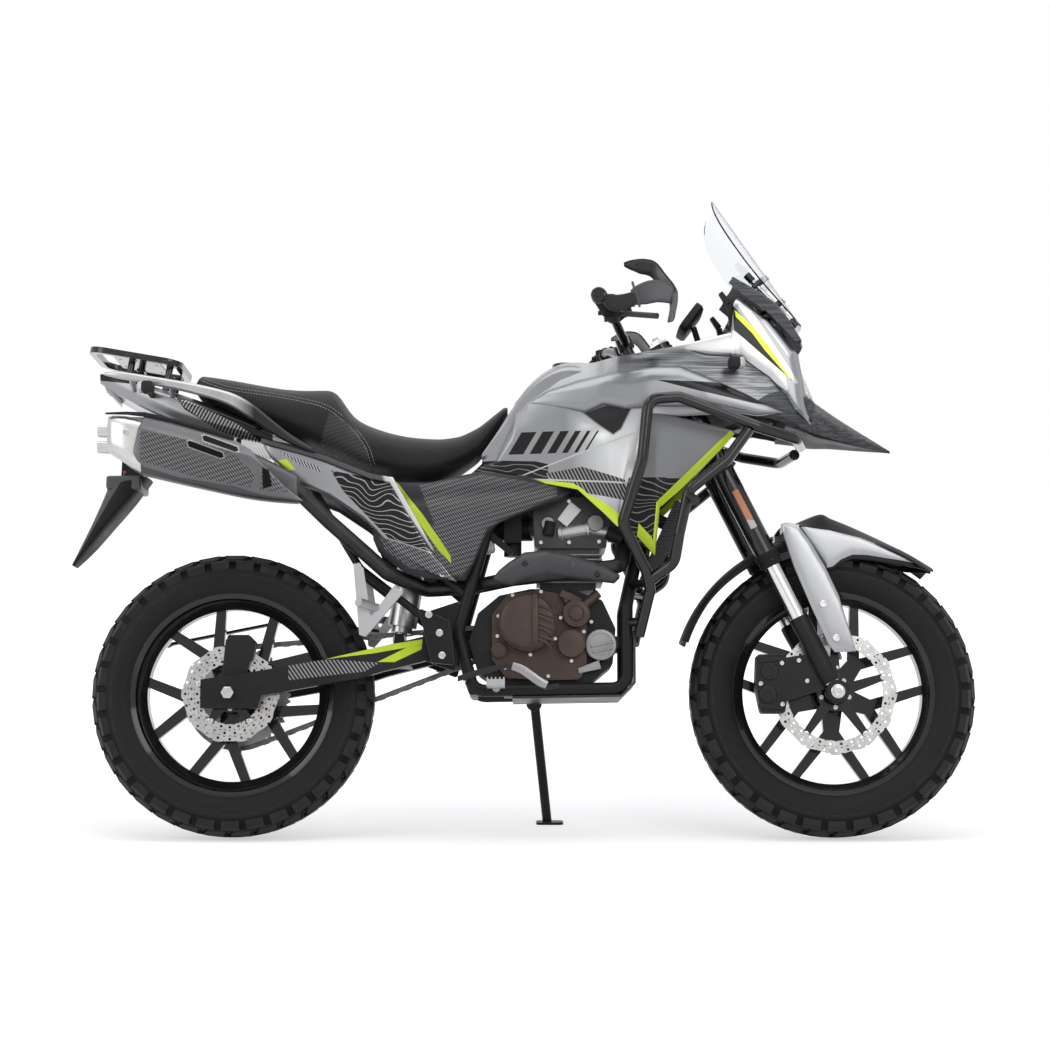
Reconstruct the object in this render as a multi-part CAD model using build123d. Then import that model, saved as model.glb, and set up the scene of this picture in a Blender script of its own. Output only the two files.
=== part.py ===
"""A dual sport motorcycle on its side stand: one solid model, a STEP file for each sub-part.

The bike is drawn upright, +X forward, +Y to its left, +Z up, with z = 0 on the ground, and is
leaned onto its side stand at the very end. Lengths are millimetres and angles are degrees.
"""
from build123d import *
from collections import namedtuple
import math
import os

# ---------------------------------------------------------------- parking
LEAN = 7.5                      # lean to the left on the side stand
BOX_SHIFT = -147.4              # brings the leaned bike's floor centre to the origin

# ---------------------------------------------------------------- wheels
REAR_AXLE_X = -654.0
REAR_TYRE_R = 320.0
REAR_TYRE_HALF = 63.0
REAR_CROWN_HALF = 30.0
FRONT_TYRE_R = 324.0
FRONT_TYRE_HALF = 56.0
FRONT_CROWN_HALF = 26.0
LUGS = 33
LUG_DEPTH = 8.0
LUG_SHARE = 0.68                # of the pitch
RIM_SEAT_R = 219.0
FLANGE_RISE = 12.0              # rim flange over the bead seat
REAR_RIM_DEPTH = 24.0           # bead seat to the inside of the rim well
FRONT_RIM_DEPTH = 15.0
AXLE_R = 8.0
REAR_RIM_HALF = 48.0
FRONT_RIM_HALF = 41.0
SPOKE_ARMS = 5
BEAD_GAP = 0.3

# ---------------------------------------------------------------- brakes and chain
REAR_DISC_R = 110.0
REAR_DISC_IN = 66.0
REAR_DISC_Y = -76.0             # middle of the disc
FRONT_DISC_R = 140.0
FRONT_DISC_IN = 108.0
FRONT_DISC_Y = -67.0
DISC_T = 4.5
CHAIN_PITCH = 15.875
CHAIN_Y = 80.0
REAR_TEETH = 46
FRONT_TEETH = 15
FRONT_SPROCKET_X = -112.0
FRONT_SPROCKET_Z = 448.0
SPROCKET_T = 6.0

# ---------------------------------------------------------------- steering
HEAD_X = 338.43                 # steering axis at the height HEAD_Z
HEAD_Z = 975.0
HEAD_HALF = 86.0                # half the steering head, by height
RAKE = 26.5
FORK_OFFSET = 40.0              # steering axis to the fork legs
FORK_SPREAD = 98.0              # each leg from the middle
UPPER_TUBE_R = 25.0
SLIDER_R = 18.5
STEM_R = 12.5
STEER_LIMIT = 33.0
BAR_R = 11.0
BAR_HALF = 420.0

# ---------------------------------------------------------------- tubes
SPINE_R = 20.0
CRADLE_R = 14.0
RAIL_R = 12.0
CRASH_R = 12.5
PIPE_R = 17.0
RACK_R = 8.0

# ---------------------------------------------------------------- side stand
STAND_PIVOT = (30.0, 144.0, 318.0)
STAND_DOWN = (0.10, 0.42, -0.90)
STAND_UP = (-0.99, 0.12, -0.05)
STAND_R = 11.0
FOOT_T = 6.0
HUB_HALF = 11.5

# ---------------------------------------------------------------- clearances
SEAT_GAP = 0.3                  # between a part and what it is bolted to
PIN_GAP = 0.4                   # round a pin or an axle

TILT = math.tan(math.radians(LEAN))
RAKE_SIN = math.sin(math.radians(RAKE))
RAKE_COS = math.cos(math.radians(RAKE))
RIM_FLANGE_R = RIM_SEAT_R + FLANGE_RISE
REAR_RIM_IN = RIM_SEAT_R - REAR_RIM_DEPTH
FRONT_RIM_IN = RIM_SEAT_R - FRONT_RIM_DEPTH
REAR_AXLE_Z = REAR_TYRE_R + REAR_CROWN_HALF * TILT
FRONT_AXLE_Z = FRONT_TYRE_R + FRONT_CROWN_HALF * TILT
FRONT_AXLE_X = HEAD_X + (HEAD_Z - FRONT_AXLE_Z) * RAKE_SIN / RAKE_COS + FORK_OFFSET / RAKE_COS


# ================================================================ helpers
def outline(points, radius=0):
    """A closed outline in the side view, with its corners rounded."""
    face = make_face(Polyline(*points, close=True))
    return fillet(face.vertices(), radius) if radius else face


def slab(points, low, high, radius=0):
    """A side-view outline as a plate from the lateral place low to high."""
    return extrude(Plane.XZ.offset(-high) * outline(points, radius), high - low)


def disc(x, z, radius, low, high):
    """A round bar across the bike."""
    return extrude(Plane.XZ.offset(-high) * Pos(x, z) * Circle(radius), high - low)


def ring(x, z, radius, bore, low, high):
    """A round washer across the bike."""
    return disc(x, z, radius, low, high) - disc(x, z, bore, low - 1, high + 1)


def block(x0, x1, y0, y1, z0, z1):
    """A box between its corners."""
    return Pos((x0 + x1) / 2, (y0 + y1) / 2, (z0 + z1) / 2) * Box(x1 - x0, y1 - y0, z1 - z0)


def rod(start, end, radius):
    """A straight round rod from one point to another."""
    start, end = Vector(*start), Vector(*end)
    plane = Plane(origin=start, z_dir=end - start)
    return extrude(plane * Circle(radius), (end - start).length)


def tube(points, radius, bend=0):
    """A bent round tube: straight runs joined by tangent arcs."""
    if len(points) == 2:
        return rod(*points, radius)
    path = FilletPolyline(*points, radius=bend)
    return sweep(Plane(origin=path @ 0, z_dir=path % 0) * Circle(radius), path=path)


def lathe(profile, x, z):
    """A (radius, y) profile turned about an axle across the bike."""
    return Pos(x, 0, z) * revolve(make_face(Polyline(*profile, close=True)), Axis.Y)


def facet_ring(profile, count):
    """A (y, apothem) profile carried round the axle in flat facets."""
    step = 2 * math.pi / count
    stretch = 1 / math.cos(step / 2)

    def corner(k, y, r):
        angle = math.radians(-90) + (k - 0.5) * step
        return r * stretch * math.cos(angle), y, r * stretch * math.sin(angle)

    faces = []
    for k in range(count):
        for (y0, r0), (y1, r1) in zip(profile, profile[1:] + profile[:1]):
            corners = [corner(k, y0, r0), corner(k, y1, r1), corner(k + 1, y1, r1), corner(k + 1, y0, r0)]
            faces.append(Face(Wire.make_polygon(corners)))
    return Part() + Solid(Shell(faces))


def mirrored(shape):
    """The same shape on the bike's other side."""
    return mirror(shape, about=Plane.XZ)


def both(shape):
    """A shape and its mirror image."""
    return shape + mirrored(shape)


def seated(piece, carrier, gap):
    """A piece cut back to what carries it, clear of it along the vector gap."""
    return piece - Pos(*gap) * carrier


def polar(radius, degrees):
    """A point (x, z) at an angle up from straight ahead."""
    angle = math.radians(degrees)
    return radius * math.cos(angle), radius * math.sin(angle)


def thick_line(start, end, w0, w1):
    """The four corners of a tapered bar between two points."""
    (x0, z0), (x1, z1) = start, end
    length = math.hypot(x1 - x0, z1 - z0)
    nx, nz = -(z1 - z0) / length / 2, (x1 - x0) / length / 2
    return [(x0 + nx * w0, z0 + nz * w0), (x1 + nx * w1, z1 + nz * w1),
            (x1 - nx * w1, z1 - nz * w1), (x0 - nx * w0, z0 - nz * w0)]


def sections(stations):
    """A ruled loft along X through eight-sided sections: x, half widths and heights."""
    faces = []
    for s in stations:
        points = [(s.top, s.z3), (s.mid, s.z2), (s.low, s.z1), (s.low, s.z0)]
        points = points + [(-y, z) for y, z in reversed(points)]
        plane = Plane(origin=(s.x, s.y, 0), x_dir=(0, 1, 0), z_dir=(1, 0, 0))
        faces.append(plane * make_face(Polyline(*points, close=True)))
    return loft(faces, ruled=True)


Station = namedtuple("Station", "x y top mid low z3 z2 z1 z0")


# ================================================================ steering geometry
def steer_point(along, forward=0.0, side=0.0):
    """A point by its height on the steering axis and its distance ahead of the axis."""
    x = HEAD_X - (along - HEAD_Z) * RAKE_SIN / RAKE_COS + forward * RAKE_COS
    return x, side, along + forward * RAKE_SIN


def steer_plane(along, forward=0.0, side=0.0):
    """A plane square to the steering axis, x forward."""
    return Plane(origin=steer_point(along, forward, side), x_dir=(RAKE_COS, 0, RAKE_SIN),
                 z_dir=(-RAKE_SIN, 0, RAKE_COS))


def steer_bar(low, high, radius, forward=0.0, side=0.0):
    """A round bar along the steering axis between two heights."""
    length = (high - low) / RAKE_COS
    return extrude(steer_plane(low, forward, side) * Circle(radius), length)


# ================================================================ wheels
def tyre(x, z, radius, crown, half, rim_half):
    """Carcass in flat facets, one for each lug, and lugs across crown and shoulders."""
    carcass = radius - LUG_DEPTH
    shoulder = radius - 34
    profile = [(rim_half - 6.5, RIM_SEAT_R + 2.5), (rim_half - 0.5, RIM_FLANGE_R + 1),
               (half, shoulder), (crown, carcass)]
    stations = [(-y, r) for y, r in profile] + [(y, r) for y, r in reversed(profile)]
    body = facet_ring(stations + [(stations[-1][0], RIM_SEAT_R + BEAD_GAP),
                                  (stations[0][0], RIM_SEAT_R + BEAD_GAP)], LUGS)
    length = 2 * math.pi * radius / LUGS * LUG_SHARE
    edge = half - 1.0
    points = [(-edge, -(radius - 21)), (-crown, -radius), (crown, -radius), (edge, -(radius - 21)),
              (edge - 3, -(radius - 42)), (-(edge - 3), -(radius - 42))]
    lug = extrude(Plane.YZ.offset(-length / 2) * make_face(Polyline(*points, close=True)), length)
    lugs = [Rot(0, k * 360 / LUGS, 0) * lug for k in range(LUGS)]
    body = body + lugs
    return Pos(x, 0, z) * body


HUB_R = 34.0


def rim(x, z, half, inner, hub_r, hub_low, hub_high, vertex, first, spread, width):
    """Cast rim, hub, and five arms that each fork into a V of two spokes."""
    profile = [(RIM_FLANGE_R, half), (RIM_SEAT_R, half - 6), (inner + 8, 14), (inner + 8, -14),
               (RIM_SEAT_R, -half + 6), (RIM_FLANGE_R, -half), (inner, -20), (inner, 20)]
    body = lathe(profile, 0, 0)
    for k in range(SPOKE_ARMS):
        angle = first + k * 360 / SPOKE_ARMS
        body += slab(thick_line(polar(hub_r - 6, angle), polar(vertex + 6, angle), 46, 34), -13, 13)
        for side in (-spread, spread):
            body += slab(thick_line(polar(vertex - 6, angle), polar(inner + 3, angle + side), 26, width),
                         -13, 13)
    body += disc(0, 0, hub_r, -30, 30)
    body += disc(0, 0, HUB_R, hub_low, hub_high)
    body -= disc(0, 0, AXLE_R + PIN_GAP, hub_low - 1, hub_high + 1)
    return Pos(x, 0, z) * body


DISC_BORE_R = 26.0              # smaller than the hub, which the disc is bolted to


def hub_face(middle, thick):
    """Where the hub ends against a disc on its right."""
    return middle + thick / 2 + SEAT_GAP


def wave_disc(x, z, radius, inner, middle, waves):
    """Brake disc with a scalloped edge, on a carrier with arms to the hub."""
    low, high = middle - DISC_T / 2, middle + DISC_T / 2
    points = []
    for k in range(waves):
        points.append(polar(radius, k * 360 / waves))
        points.append(polar(radius, (k + 0.5) * 360 / waves))
        points.append(polar(radius - 5, (k + 0.75) * 360 / waves))
    body = slab(points, low, high) - disc(0, 0, inner, low - 1, high + 1)
    for k in range(5):
        bar = thick_line(polar(30, 18 + 72 * k), polar(inner + 4, 18 + 72 * k), 26, 20)
        body += slab(bar, low, high)
    body += disc(0, 0, 40, low, high)
    body -= disc(0, 0, DISC_BORE_R, low - 1, high + 1)
    return Pos(x, 0, z) * body


def sprocket_radius(teeth):
    """Pitch radius of a chain wheel."""
    return CHAIN_PITCH / 2 / math.sin(math.pi / teeth)


def sprocket(x, z, teeth, bore):
    """Chain wheel with pointed teeth."""
    pitch_r = sprocket_radius(teeth)
    points = []
    for k in range(teeth):
        points.append(polar(pitch_r + 4.5, (k + 0.42) * 360 / teeth))
        points.append(polar(pitch_r + 4.5, (k + 0.58) * 360 / teeth))
        points.append(polar(pitch_r - 5, (k + 1.0) * 360 / teeth))
    low, high = CHAIN_Y - SPROCKET_T / 2, CHAIN_Y + SPROCKET_T / 2
    body = slab(points, low, high)
    body -= disc(0, 0, bore, low - 1, high + 1)
    return Pos(x, 0, z) * body


def chain():
    """Plates in a closed loop round both sprockets, with rollers on the straight runs."""
    rear_r, front_r = sprocket_radius(REAR_TEETH), sprocket_radius(FRONT_TEETH)
    dx, dz = FRONT_SPROCKET_X - REAR_AXLE_X, FRONT_SPROCKET_Z - REAR_AXLE_Z
    distance = math.hypot(dx, dz)
    heading = math.degrees(math.atan2(dz, dx))
    slope = math.degrees(math.asin((rear_r - front_r) / distance))
    up, down = heading + 90 - slope, heading - 90 + slope

    def loop(extra):
        rear = [polar(rear_r + extra, a) for a in (up, heading + 180, down)]
        front = [polar(front_r + extra, a) for a in (down, heading, up)]
        rear = [(REAR_AXLE_X + px, REAR_AXLE_Z + pz) for px, pz in rear]
        front = [(FRONT_SPROCKET_X + px, FRONT_SPROCKET_Z + pz) for px, pz in front]
        edges = ThreePointArc(*rear) + Line(rear[2], front[0])
        edges += ThreePointArc(*front) + Line(front[2], rear[0])
        return make_face(edges)

    band = loop(5.5) - loop(-5.5)
    body = None
    for side in (-1, 1):
        middle = CHAIN_Y + side * 4.6
        plate = extrude(Plane.XZ.offset(-middle - 0.9) * band, 1.8)
        body = plate if body is None else body + plate
    run = distance * math.cos(math.radians(slope))
    first = 2                       # the first roller clear of the rear teeth
    count = int((run - 2.5 * CHAIN_PITCH) / CHAIN_PITCH / 2)
    links = []
    for angle, turn in ((up, heading - slope), (down, heading + slope)):
        cx, cz = polar(rear_r, angle)
        ux, uz = polar(1, turn)
        for k in range(count):
            along = (k + 0.5) * 2 * CHAIN_PITCH
            a = (REAR_AXLE_X + cx + ux * along, REAR_AXLE_Z + cz + uz * along)
            b = (a[0] + ux * CHAIN_PITCH, a[1] + uz * CHAIN_PITCH)
            links.append(slab(thick_line(a, b, 13, 13), CHAIN_Y + 5.5, CHAIN_Y + 8.0))
            if k >= first:
                links.append(slab(thick_line(a, b, 7, 7), CHAIN_Y - 4, CHAIN_Y + 4))
    return body + links


# ================================================================ frame
HEAD_LOW, HEAD_HIGH = HEAD_Z - HEAD_HALF, HEAD_Z + HEAD_HALF
RAIL_Y = 98.0
RAIL_SIDE = RAIL_Y + RAIL_R + SEAT_GAP      # where the bodywork meets the seat rails
CRADLE_Y = 108.0
PIVOT = (-185.0, 430.0)


def stand_plane():
    """The side stand's hinge: a plane square to the hinge pin."""
    axis = Vector(*STAND_DOWN).cross(Vector(*STAND_UP)).normalized()
    return Plane(origin=STAND_PIVOT, z_dir=axis)


HANGER_TOP = (-364, 100, 606)
STRUT_R = 9.0
SHOCK_LOW, SHOCK_HIGH = (-278, 450), (-240, 690)
SHOCK_EYE_R, SHOCK_EYE_HALF = 16.0, 20.0
SHOCK_PIN_R = 6.0
SPINE = [(332, 0, 945), (60, 0, 868), (-72, 0, 800)]
DOWN_TUBE = ((340, 28, 930), (262, 58, 640))


def shock_ears(eye, base_z, depth):
    """Two lugs beside a shock eye, and the pin through it."""
    x, z = eye
    inner = SHOCK_EYE_HALF + SEAT_GAP
    lug = slab([(x - 15, base_z), (x + 15, base_z), (x + 10, z + depth), (x - 10, z + depth)],
               inner, inner + 7)
    return both(lug) + disc(x, z, SHOCK_PIN_R, -inner - 7, inner + 7)


def shock_mount():
    """Cross tube between the seat rails with the upper shock lugs."""
    x, rail_z = SHOCK_HIGH[0], 763
    body = rod((x, -RAIL_Y, rail_z), (x, RAIL_Y, rail_z), 11)
    return body + shock_ears(SHOCK_HIGH, rail_z, -14)


def rail_tube(side, extra=0.0):
    """Seat rail on one side, from the cradle back to the tail."""
    points = [(-66, side * RAIL_Y, 742), (-300, side * RAIL_Y, 770), (-760, side * RAIL_Y, 982)]
    return tube(points, RAIL_R + extra, 90)


STAY_REACH = 150.0              # ahead of the steering axis, clear of the turning clamps
STAY_HALF = 18.0
CHEEK_IN = 139.2
LAMP_BACK = ((545, 1000), (560, 1088))


def fairing_stay():
    """Stay from the steering head: a plate, a tube across to the cheeks and a rod to the lamp."""
    corners = [steer_point(950, 26), steer_point(1045, 26), steer_point(1045, 143), steer_point(985, 143)]
    body = slab([(x, z) for x, _, z in corners], -STAY_HALF, STAY_HALF)
    x, _, z = steer_point(1010, STAY_REACH)
    body += rod((x, -CHEEK_IN + SEAT_GAP, z), (x, CHEEK_IN - SEAT_GAP, z), 9)
    (x0, z0), (x1, z1) = LAMP_BACK
    side = math.hypot(x1 - x0, z1 - z0)
    nx, nz = (z1 - z0) / side, -(x1 - x0) / side
    end = ((x0 + x1) / 2 - nx * SEAT_GAP, 0, (z0 + z1) / 2 - nz * SEAT_GAP)
    return body + rod((end[0] - nx * 100, 0, end[2] - nz * 100), end, 10)


def frame():
    """Steering head, spine, twin cradle tubes, seat rails, struts and pivot plates."""
    body = steer_bar(HEAD_LOW, HEAD_HIGH, 31)
    body += tube(SPINE, SPINE_R, 120)
    cradle = tube([*DOWN_TUBE, (236, CRADLE_Y, 520), (236, CRADLE_Y, 335),
                   (-108, CRADLE_Y, 329), (-142, CRADLE_Y, 460), (-75, CRADLE_Y, 700),
                   (-62, 20, 800)], CRADLE_R, 34)
    strut = rod((-128, 100, 545), (-470, RAIL_Y, 846), 10)
    lower_strut = tube([(-190, 100, 470), HANGER_TOP, (-520, RAIL_Y, 868)], STRUT_R, 50)
    plate = slab([(-226, 400), (-150, 372), (-124, 470), (-140, 530), (-215, 505)], 102, 112, 6)
    body += both(cradle)
    body += rail_tube(1) + rail_tube(-1)
    body += both(strut)
    body += both(lower_strut)
    body += both(plate)
    body += rod((-300, -RAIL_Y, 770), (-300, RAIL_Y, 770), 11)
    body += shock_mount()
    body += fairing_stay()
    body += rod((-740, -RAIL_Y, 973), (-740, RAIL_Y, 973), 11)
    body += rod((-108, -CRADLE_Y, 332), (-108, CRADLE_Y, 332), 12)
    lug = stand_plane().offset(-HUB_HALF - 8.3)
    body += extrude(lug * Circle(14), 8)
    px, py, pz = STAND_PIVOT
    body += rod((px - 4, py - 21, pz), (px - 4, CRADLE_Y, 331), 6)
    body -= steer_bar(HEAD_LOW - 20, HEAD_HIGH + 20, STEM_R + PIN_GAP)
    body -= disc(*PIVOT, 10.3, -130, 130)
    return body


ARM_IN, ARM_OUT = 94.0, 120.0


def swingarm():
    """Two tapered arms, a cross member, pivot and axle bolts, and the chain guard."""
    side = [(-160, 452), (-203, 456), (-442, 398), (-600, 371), (-716, 354), (-716, 290), (-588, 290),
            (-580, 318), (-366, 356), (-308, 374), (-197, 402), (-160, 408)]
    plan = [(-158, 64), (-290, 66), (-420, ARM_IN), (-718, ARM_IN), (-718, ARM_OUT),
            (-400, ARM_OUT), (-270, 98), (-158, 98)]
    arm = slab(side, 60, 124) & extrude(Plane.XY.offset(260) * make_face(Polyline(*plan, close=True)), 220)
    body = both(arm)
    body += block(-312, -250, -72, 72, 388, 428)
    body += shock_ears(SHOCK_LOW, 420, 14)
    body += disc(*PIVOT, 26, -98, 98)
    body += disc(*PIVOT, 10, -120, 120)
    body += disc(REAR_AXLE_X, REAR_AXLE_Z, AXLE_R, -128, 128)
    body += disc(REAR_AXLE_X, REAR_AXLE_Z, 14, -132, -ARM_OUT)
    body += disc(REAR_AXLE_X, REAR_AXLE_Z, 14, ARM_OUT, 132)
    guard = [(-820, 440), (-810, 452), (-540, 506), (-330, 482), (-330, 476), (-540, 500), (-808, 446)]
    body += slab(guard, CHAIN_Y - 12, CHAIN_Y + 12)
    body += block(-420, -400, CHAIN_Y + 10, 96, 392, 492)
    return body


def rear_shock():
    """Spring and damper between the swingarm and the frame."""
    low, high = Vector(SHOCK_LOW[0], 0, SHOCK_LOW[1]), Vector(SHOCK_HIGH[0], 0, SHOCK_HIGH[1])
    plane = Plane(origin=low, z_dir=high - low)
    length = (high - low).length
    body = extrude(plane * Circle(14), length)
    body += extrude(plane.offset(32) * Circle(33), length - 64)
    body += extrude(plane.offset(18) * Circle(24), 16)
    for x, z in (SHOCK_LOW, SHOCK_HIGH):
        body += disc(x, z, SHOCK_EYE_R, -SHOCK_EYE_HALF, SHOCK_EYE_HALF)
        body -= disc(x, z, SHOCK_PIN_R + PIN_GAP, -40, 40)
    return body


def rear_caliper():
    """Two-piston caliper over the disc, on a bracket to the axle."""
    ax, az = REAR_AXLE_X, REAR_AXLE_Z
    gap_low, gap_high = REAR_DISC_Y - 5.5, REAR_DISC_Y + 5.5
    body = slab([(-668, 408), (-604, 396), (-596, 440), (-612, 456), (-660, 456)], -93.7, -64.5, 6)
    body -= disc(ax, az, REAR_DISC_R + 6, gap_low, gap_high)
    bracket = slab([(ax - 22, az), (ax + 22, az), (-604, 410), (-604, 446), (-664, 446)], -93.7, -86)
    bracket += disc(ax, az, 24, -93.7, -86)
    bracket -= disc(ax, az, AXLE_R + PIN_GAP, -95, -80)
    return body + bracket


# ================================================================ engine
def engine_case():
    """Crankcase with the sprocket recess, generator cover, and the front sprocket."""
    case = [(-118, 440), (-98, 372), (-60, 345), (60, 337), (150, 345), (205, 390), (212, 470),
            (182, 535), (110, 560), (20, 560), (-50, 545), (-98, 505)]
    body = slab(case, -88, 88, 10)
    body -= block(-140, -58, 66, 100, 330, 580)
    body += disc(80, 450, 70, 88, 122)
    body += disc(80, 450, 58, 122, 132)
    body += disc(182, 431, 33, -112, -88)
    body += disc(FRONT_SPROCKET_X, FRONT_SPROCKET_Z, 14, 60, CHAIN_Y + 8)
    body += sprocket(FRONT_SPROCKET_X, FRONT_SPROCKET_Z, FRONT_TEETH, 5)
    body += block(-40, 60, -60, 60, 322, 345)
    reach = CRADLE_Y - CRADLE_R - SEAT_GAP
    body += rod((10, -reach, 331), (10, reach, 331), 9)
    body += both(slab([(190, 424), (232, 430), (240, 440), (232, 450), (190, 456)], 60, reach))
    return body


def clutch_cover():
    """Right engine cover: clutch dome with ribs, water pump and oil filter caps."""
    plate = [(-66, 400), (-34, 358), (60, 353), (130, 355), (146, 380), (146, 505), (134, 538),
             (40, 556), (-30, 547), (-66, 500)]
    body = slab(plate, -104, -88.2, 12)
    body += disc(14, 482, 65, -136, -104)
    body += disc(14, 482, 56, -142, -136)
    body += disc(123, 501, 30, -128, -104)
    body += disc(123, 501, 16, -136, -128)
    body += disc(112, 434, 30, -130, -104)
    body += disc(-50, 420, 17, -112, -104)
    for k in range(3):
        body += slab([(28, 508 - 26 * k), (72, 494 - 26 * k), (72, 489 - 26 * k), (28, 503 - 26 * k)],
                     -146, -140)
    return body


def cylinder_head():
    """Cylinder barrel, head and cam cover."""
    barrel = slab([(42, 560.2), (168, 560.2), (178, 655), (40, 655)], -56, 56, 4)
    head = slab([(30, 655), (192, 655), (198, 700), (190, 742), (150, 772), (62, 772), (26, 740)],
                -66, 66, 6)
    body = barrel + head
    for k in range(3):
        body -= slab([(36, 585 + 22 * k), (184, 585 + 22 * k), (184, 592 + 22 * k), (36, 592 + 22 * k)],
                     -70, -50)
    return body


def carburettor():
    """Carburettor behind the head, and the airbox behind it."""
    body = rod((-97, 0, 706), (25.5, 0, 706), 26)
    body += block(-40, 0, -62, 40, 668, 734)
    body += rod((-20, -30, 640), (-20, -30, 668), 20)
    body += slab([(-196, 622), (-112, 606), (-96, 640), (-96, 748), (-190, 744)], -78, 78, 8)
    return body


def down_tube(side):
    """The space of one down tube, with the seating gap round it."""
    points = [(x, side * y, z) for x, y, z in (*DOWN_TUBE, (236, CRADLE_Y, 520), (236, CRADLE_Y, 335))]
    return tube(points, CRADLE_R + SEAT_GAP, 34)


def radiator():
    """Finned core between two tanks, ahead of the down tubes."""
    plane = Plane(origin=(324, 0, 668), x_dir=(0, 1, 0), z_dir=(0.909, 0, -0.416))
    body = plane.offset(-15) * Pos(0, 0, 15) * Box(196, 176, 28)
    for side in (-1, 1):
        body += plane.offset(-17) * Pos(side * 108, 0, 17) * Box(24, 184, 34)
        for up, across, depth in ((50, 48, 61), (-50, 59, 45)):
            bush = extrude(plane.offset(-depth) * Pos(side * across, up) * Circle(8), depth - 10)
            body += bush - down_tube(side)
    return body


# ================================================================ exhaust
PIPE_BEND, PIPE_END = (-430, -152, 705), (-506, -168, 778)
SHIELD_RUN = ((222, -136, 606), (-20, -136, 578))


def exhaust_pipe():
    """Header from the head's front port, under the heat shield and back to the muffler."""
    points = [(199, 0, 694), (240, 0, 690), *SHIELD_RUN, (-110, -70, 566),
              (-215, -70, 560), (-300, -122, 592), PIPE_BEND, PIPE_END]
    return tube(points, PIPE_R, 26)


def heat_shield():
    """Pressed guard over the header."""
    points = [(-59, 585), (-34, 607), (11, 633), (77, 638), (151, 624), (216, 598), (216, 574),
              (188, 566), (114, 575), (55, 581), (11, 573), (-26, 560), (-52, 568)]
    body = slab(points, -163, -158, 8)
    (x0, y, z0), (x1, _, z1) = SHIELD_RUN
    pipe = rod((x1, y, z1), (x0, y, z0), PIPE_R + SEAT_GAP)
    for x in (20, 156):
        z = z1 + (x - x1) / (x0 - x1) * (z0 - z1)
        body += disc(x, z, 8, -159, -142) - pipe
    return body


CAN_Y = -166.0
CAN_HALF = {-600: 40.0, -846: 42.0}         # half width of the can by station


def muffler():
    """Tapered can, end cap, two outlets, and the hanger to the seat rail."""
    y = CAN_Y
    can = sections([Station(-496, y, 20, 32, 22, 806, 790, 762, 744),
                    Station(-600, y, 26, CAN_HALF[-600], 28, 858, 838, 782, 752),
                    Station(-846, y, 28, CAN_HALF[-846], 30, 934, 905, 840, 806)])
    cap = sections([Station(-846, y, 28, 42, 30, 934, 905, 840, 806),
                    Station(-912, y, 26, 38, 28, 938, 915, 850, 824)])
    body = can + cap
    body -= rod(PIPE_BEND, PIPE_END, PIPE_R + 0.1)
    for z in (852, 892):
        body += rod((-900, y, z), (-942, y, z + 4), 15)
        body -= rod((-906, y, z + 0.5), (-950, y, z + 5), 12)
    body += slab([(-664, 826), (-618, 822), (-630, 890), (-652, 890)], -130, -122)
    body += tube([(-641, -123, 880), (-641, -RAIL_Y, 880), (-641, -RAIL_Y, 920)], 6, 10) - rail_tube(-1, SEAT_GAP)
    return body


def muffler_shield():
    """Moulded guard on the outside of the can."""
    points = [(-846, 944), (-577, 881), (-494, 796), (-471, 744), (-574, 744), (-831, 808), (-866, 850)]
    body = slab(points, -214, -209, 8)
    body -= slab([(-744, 879), (-672, 860), (-668, 848), (-740, 867)], -220, -200)
    body -= slab([(-709, 896), (-637, 877), (-633, 865), (-705, 884)], -220, -200)
    for x, z in ((-810, 894), (-604, 839)):
        half = CAN_HALF[-600] + (x + 600) / (-846 + 600) * (CAN_HALF[-846] - CAN_HALF[-600])
        body += disc(x, z, 9, -209, CAN_Y - half - SEAT_GAP)
    return body


def skid_plate():
    """Bent plate under and ahead of the cradle."""
    front, low, t = 250.6, 320.2, 5
    points = [(front, 462), (front + t, 462), (front + t, 347), (224, low - t), (-20, low - t - 4),
              (-20, low - 4), (222, low), (front, 349)]
    body = slab(points, -116, 116)
    return body


def crash_bars():
    """One bent tube loop on each side, with an outer leg, joined to the cradle."""
    inner = [(263, -124, 452), (286, -170, 549), (276, -192, 590), (223, -225, 692), (267, -240, 831),
             (281, -245, 966), (350, -240, 972), (529, -215, 908), (615, -180, 888), (637, -60, 890)]
    outer = [(505, -219, 902), (455, -225, 833), (369, -235, 764), (347, -225, 666), (338, -205, 606),
             (285, -180, 570)]
    bar = tube(inner, CRASH_R, 30) + tube(outer, CRASH_R, 40)
    bar += rod((369, -235, 752), (382, -262, 736), 11)
    tabs = rod((270, -138, 482), (236, -CRADLE_Y, 482), 10) + rod((286, -178, 566), (247, -93, 566), 9)
    return both(bar + (tabs - down_tube(-1)))


# ================================================================ bodywork
def fuel_tank():
    """Tank over the spine, with a tunnel for it."""
    body = sections([Station(-92, 0, 60, 84, 78, 862, 858, 854, 850),
                     Station(-25, 0, 66, 104, 98, 968, 940, 880, 850),
                     Station(-20, 0, 66, 104, 98, 1004, 960, 880, 850),
                     Station(86, 0, 84, 122, 116, 1078, 1026, 880, 836),
                     Station(170, 0, 78, 118, 120, 1078, 1016, 880, 820),
                     Station(222, 0, 62, 108, 122, 1073, 998, 880, 812)])
    body -= slab([(340, 978), (60, 896), (-110, 808), (-110, 700), (340, 700)], -26, 26)
    spine = tube(SPINE, SPINE_R + SEAT_GAP, 120)
    for x, z in ((20, 866), (180, 912)):
        body += block(x - 22, x + 22, -14, 14, z - 14, z + 40) - spine
    cap = Plane(origin=(108, 0, 1074), z_dir=(-0.05, 0, 1)) * Pos(0, 0, 8) * Cylinder(36, 16)
    return body + cap


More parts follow.
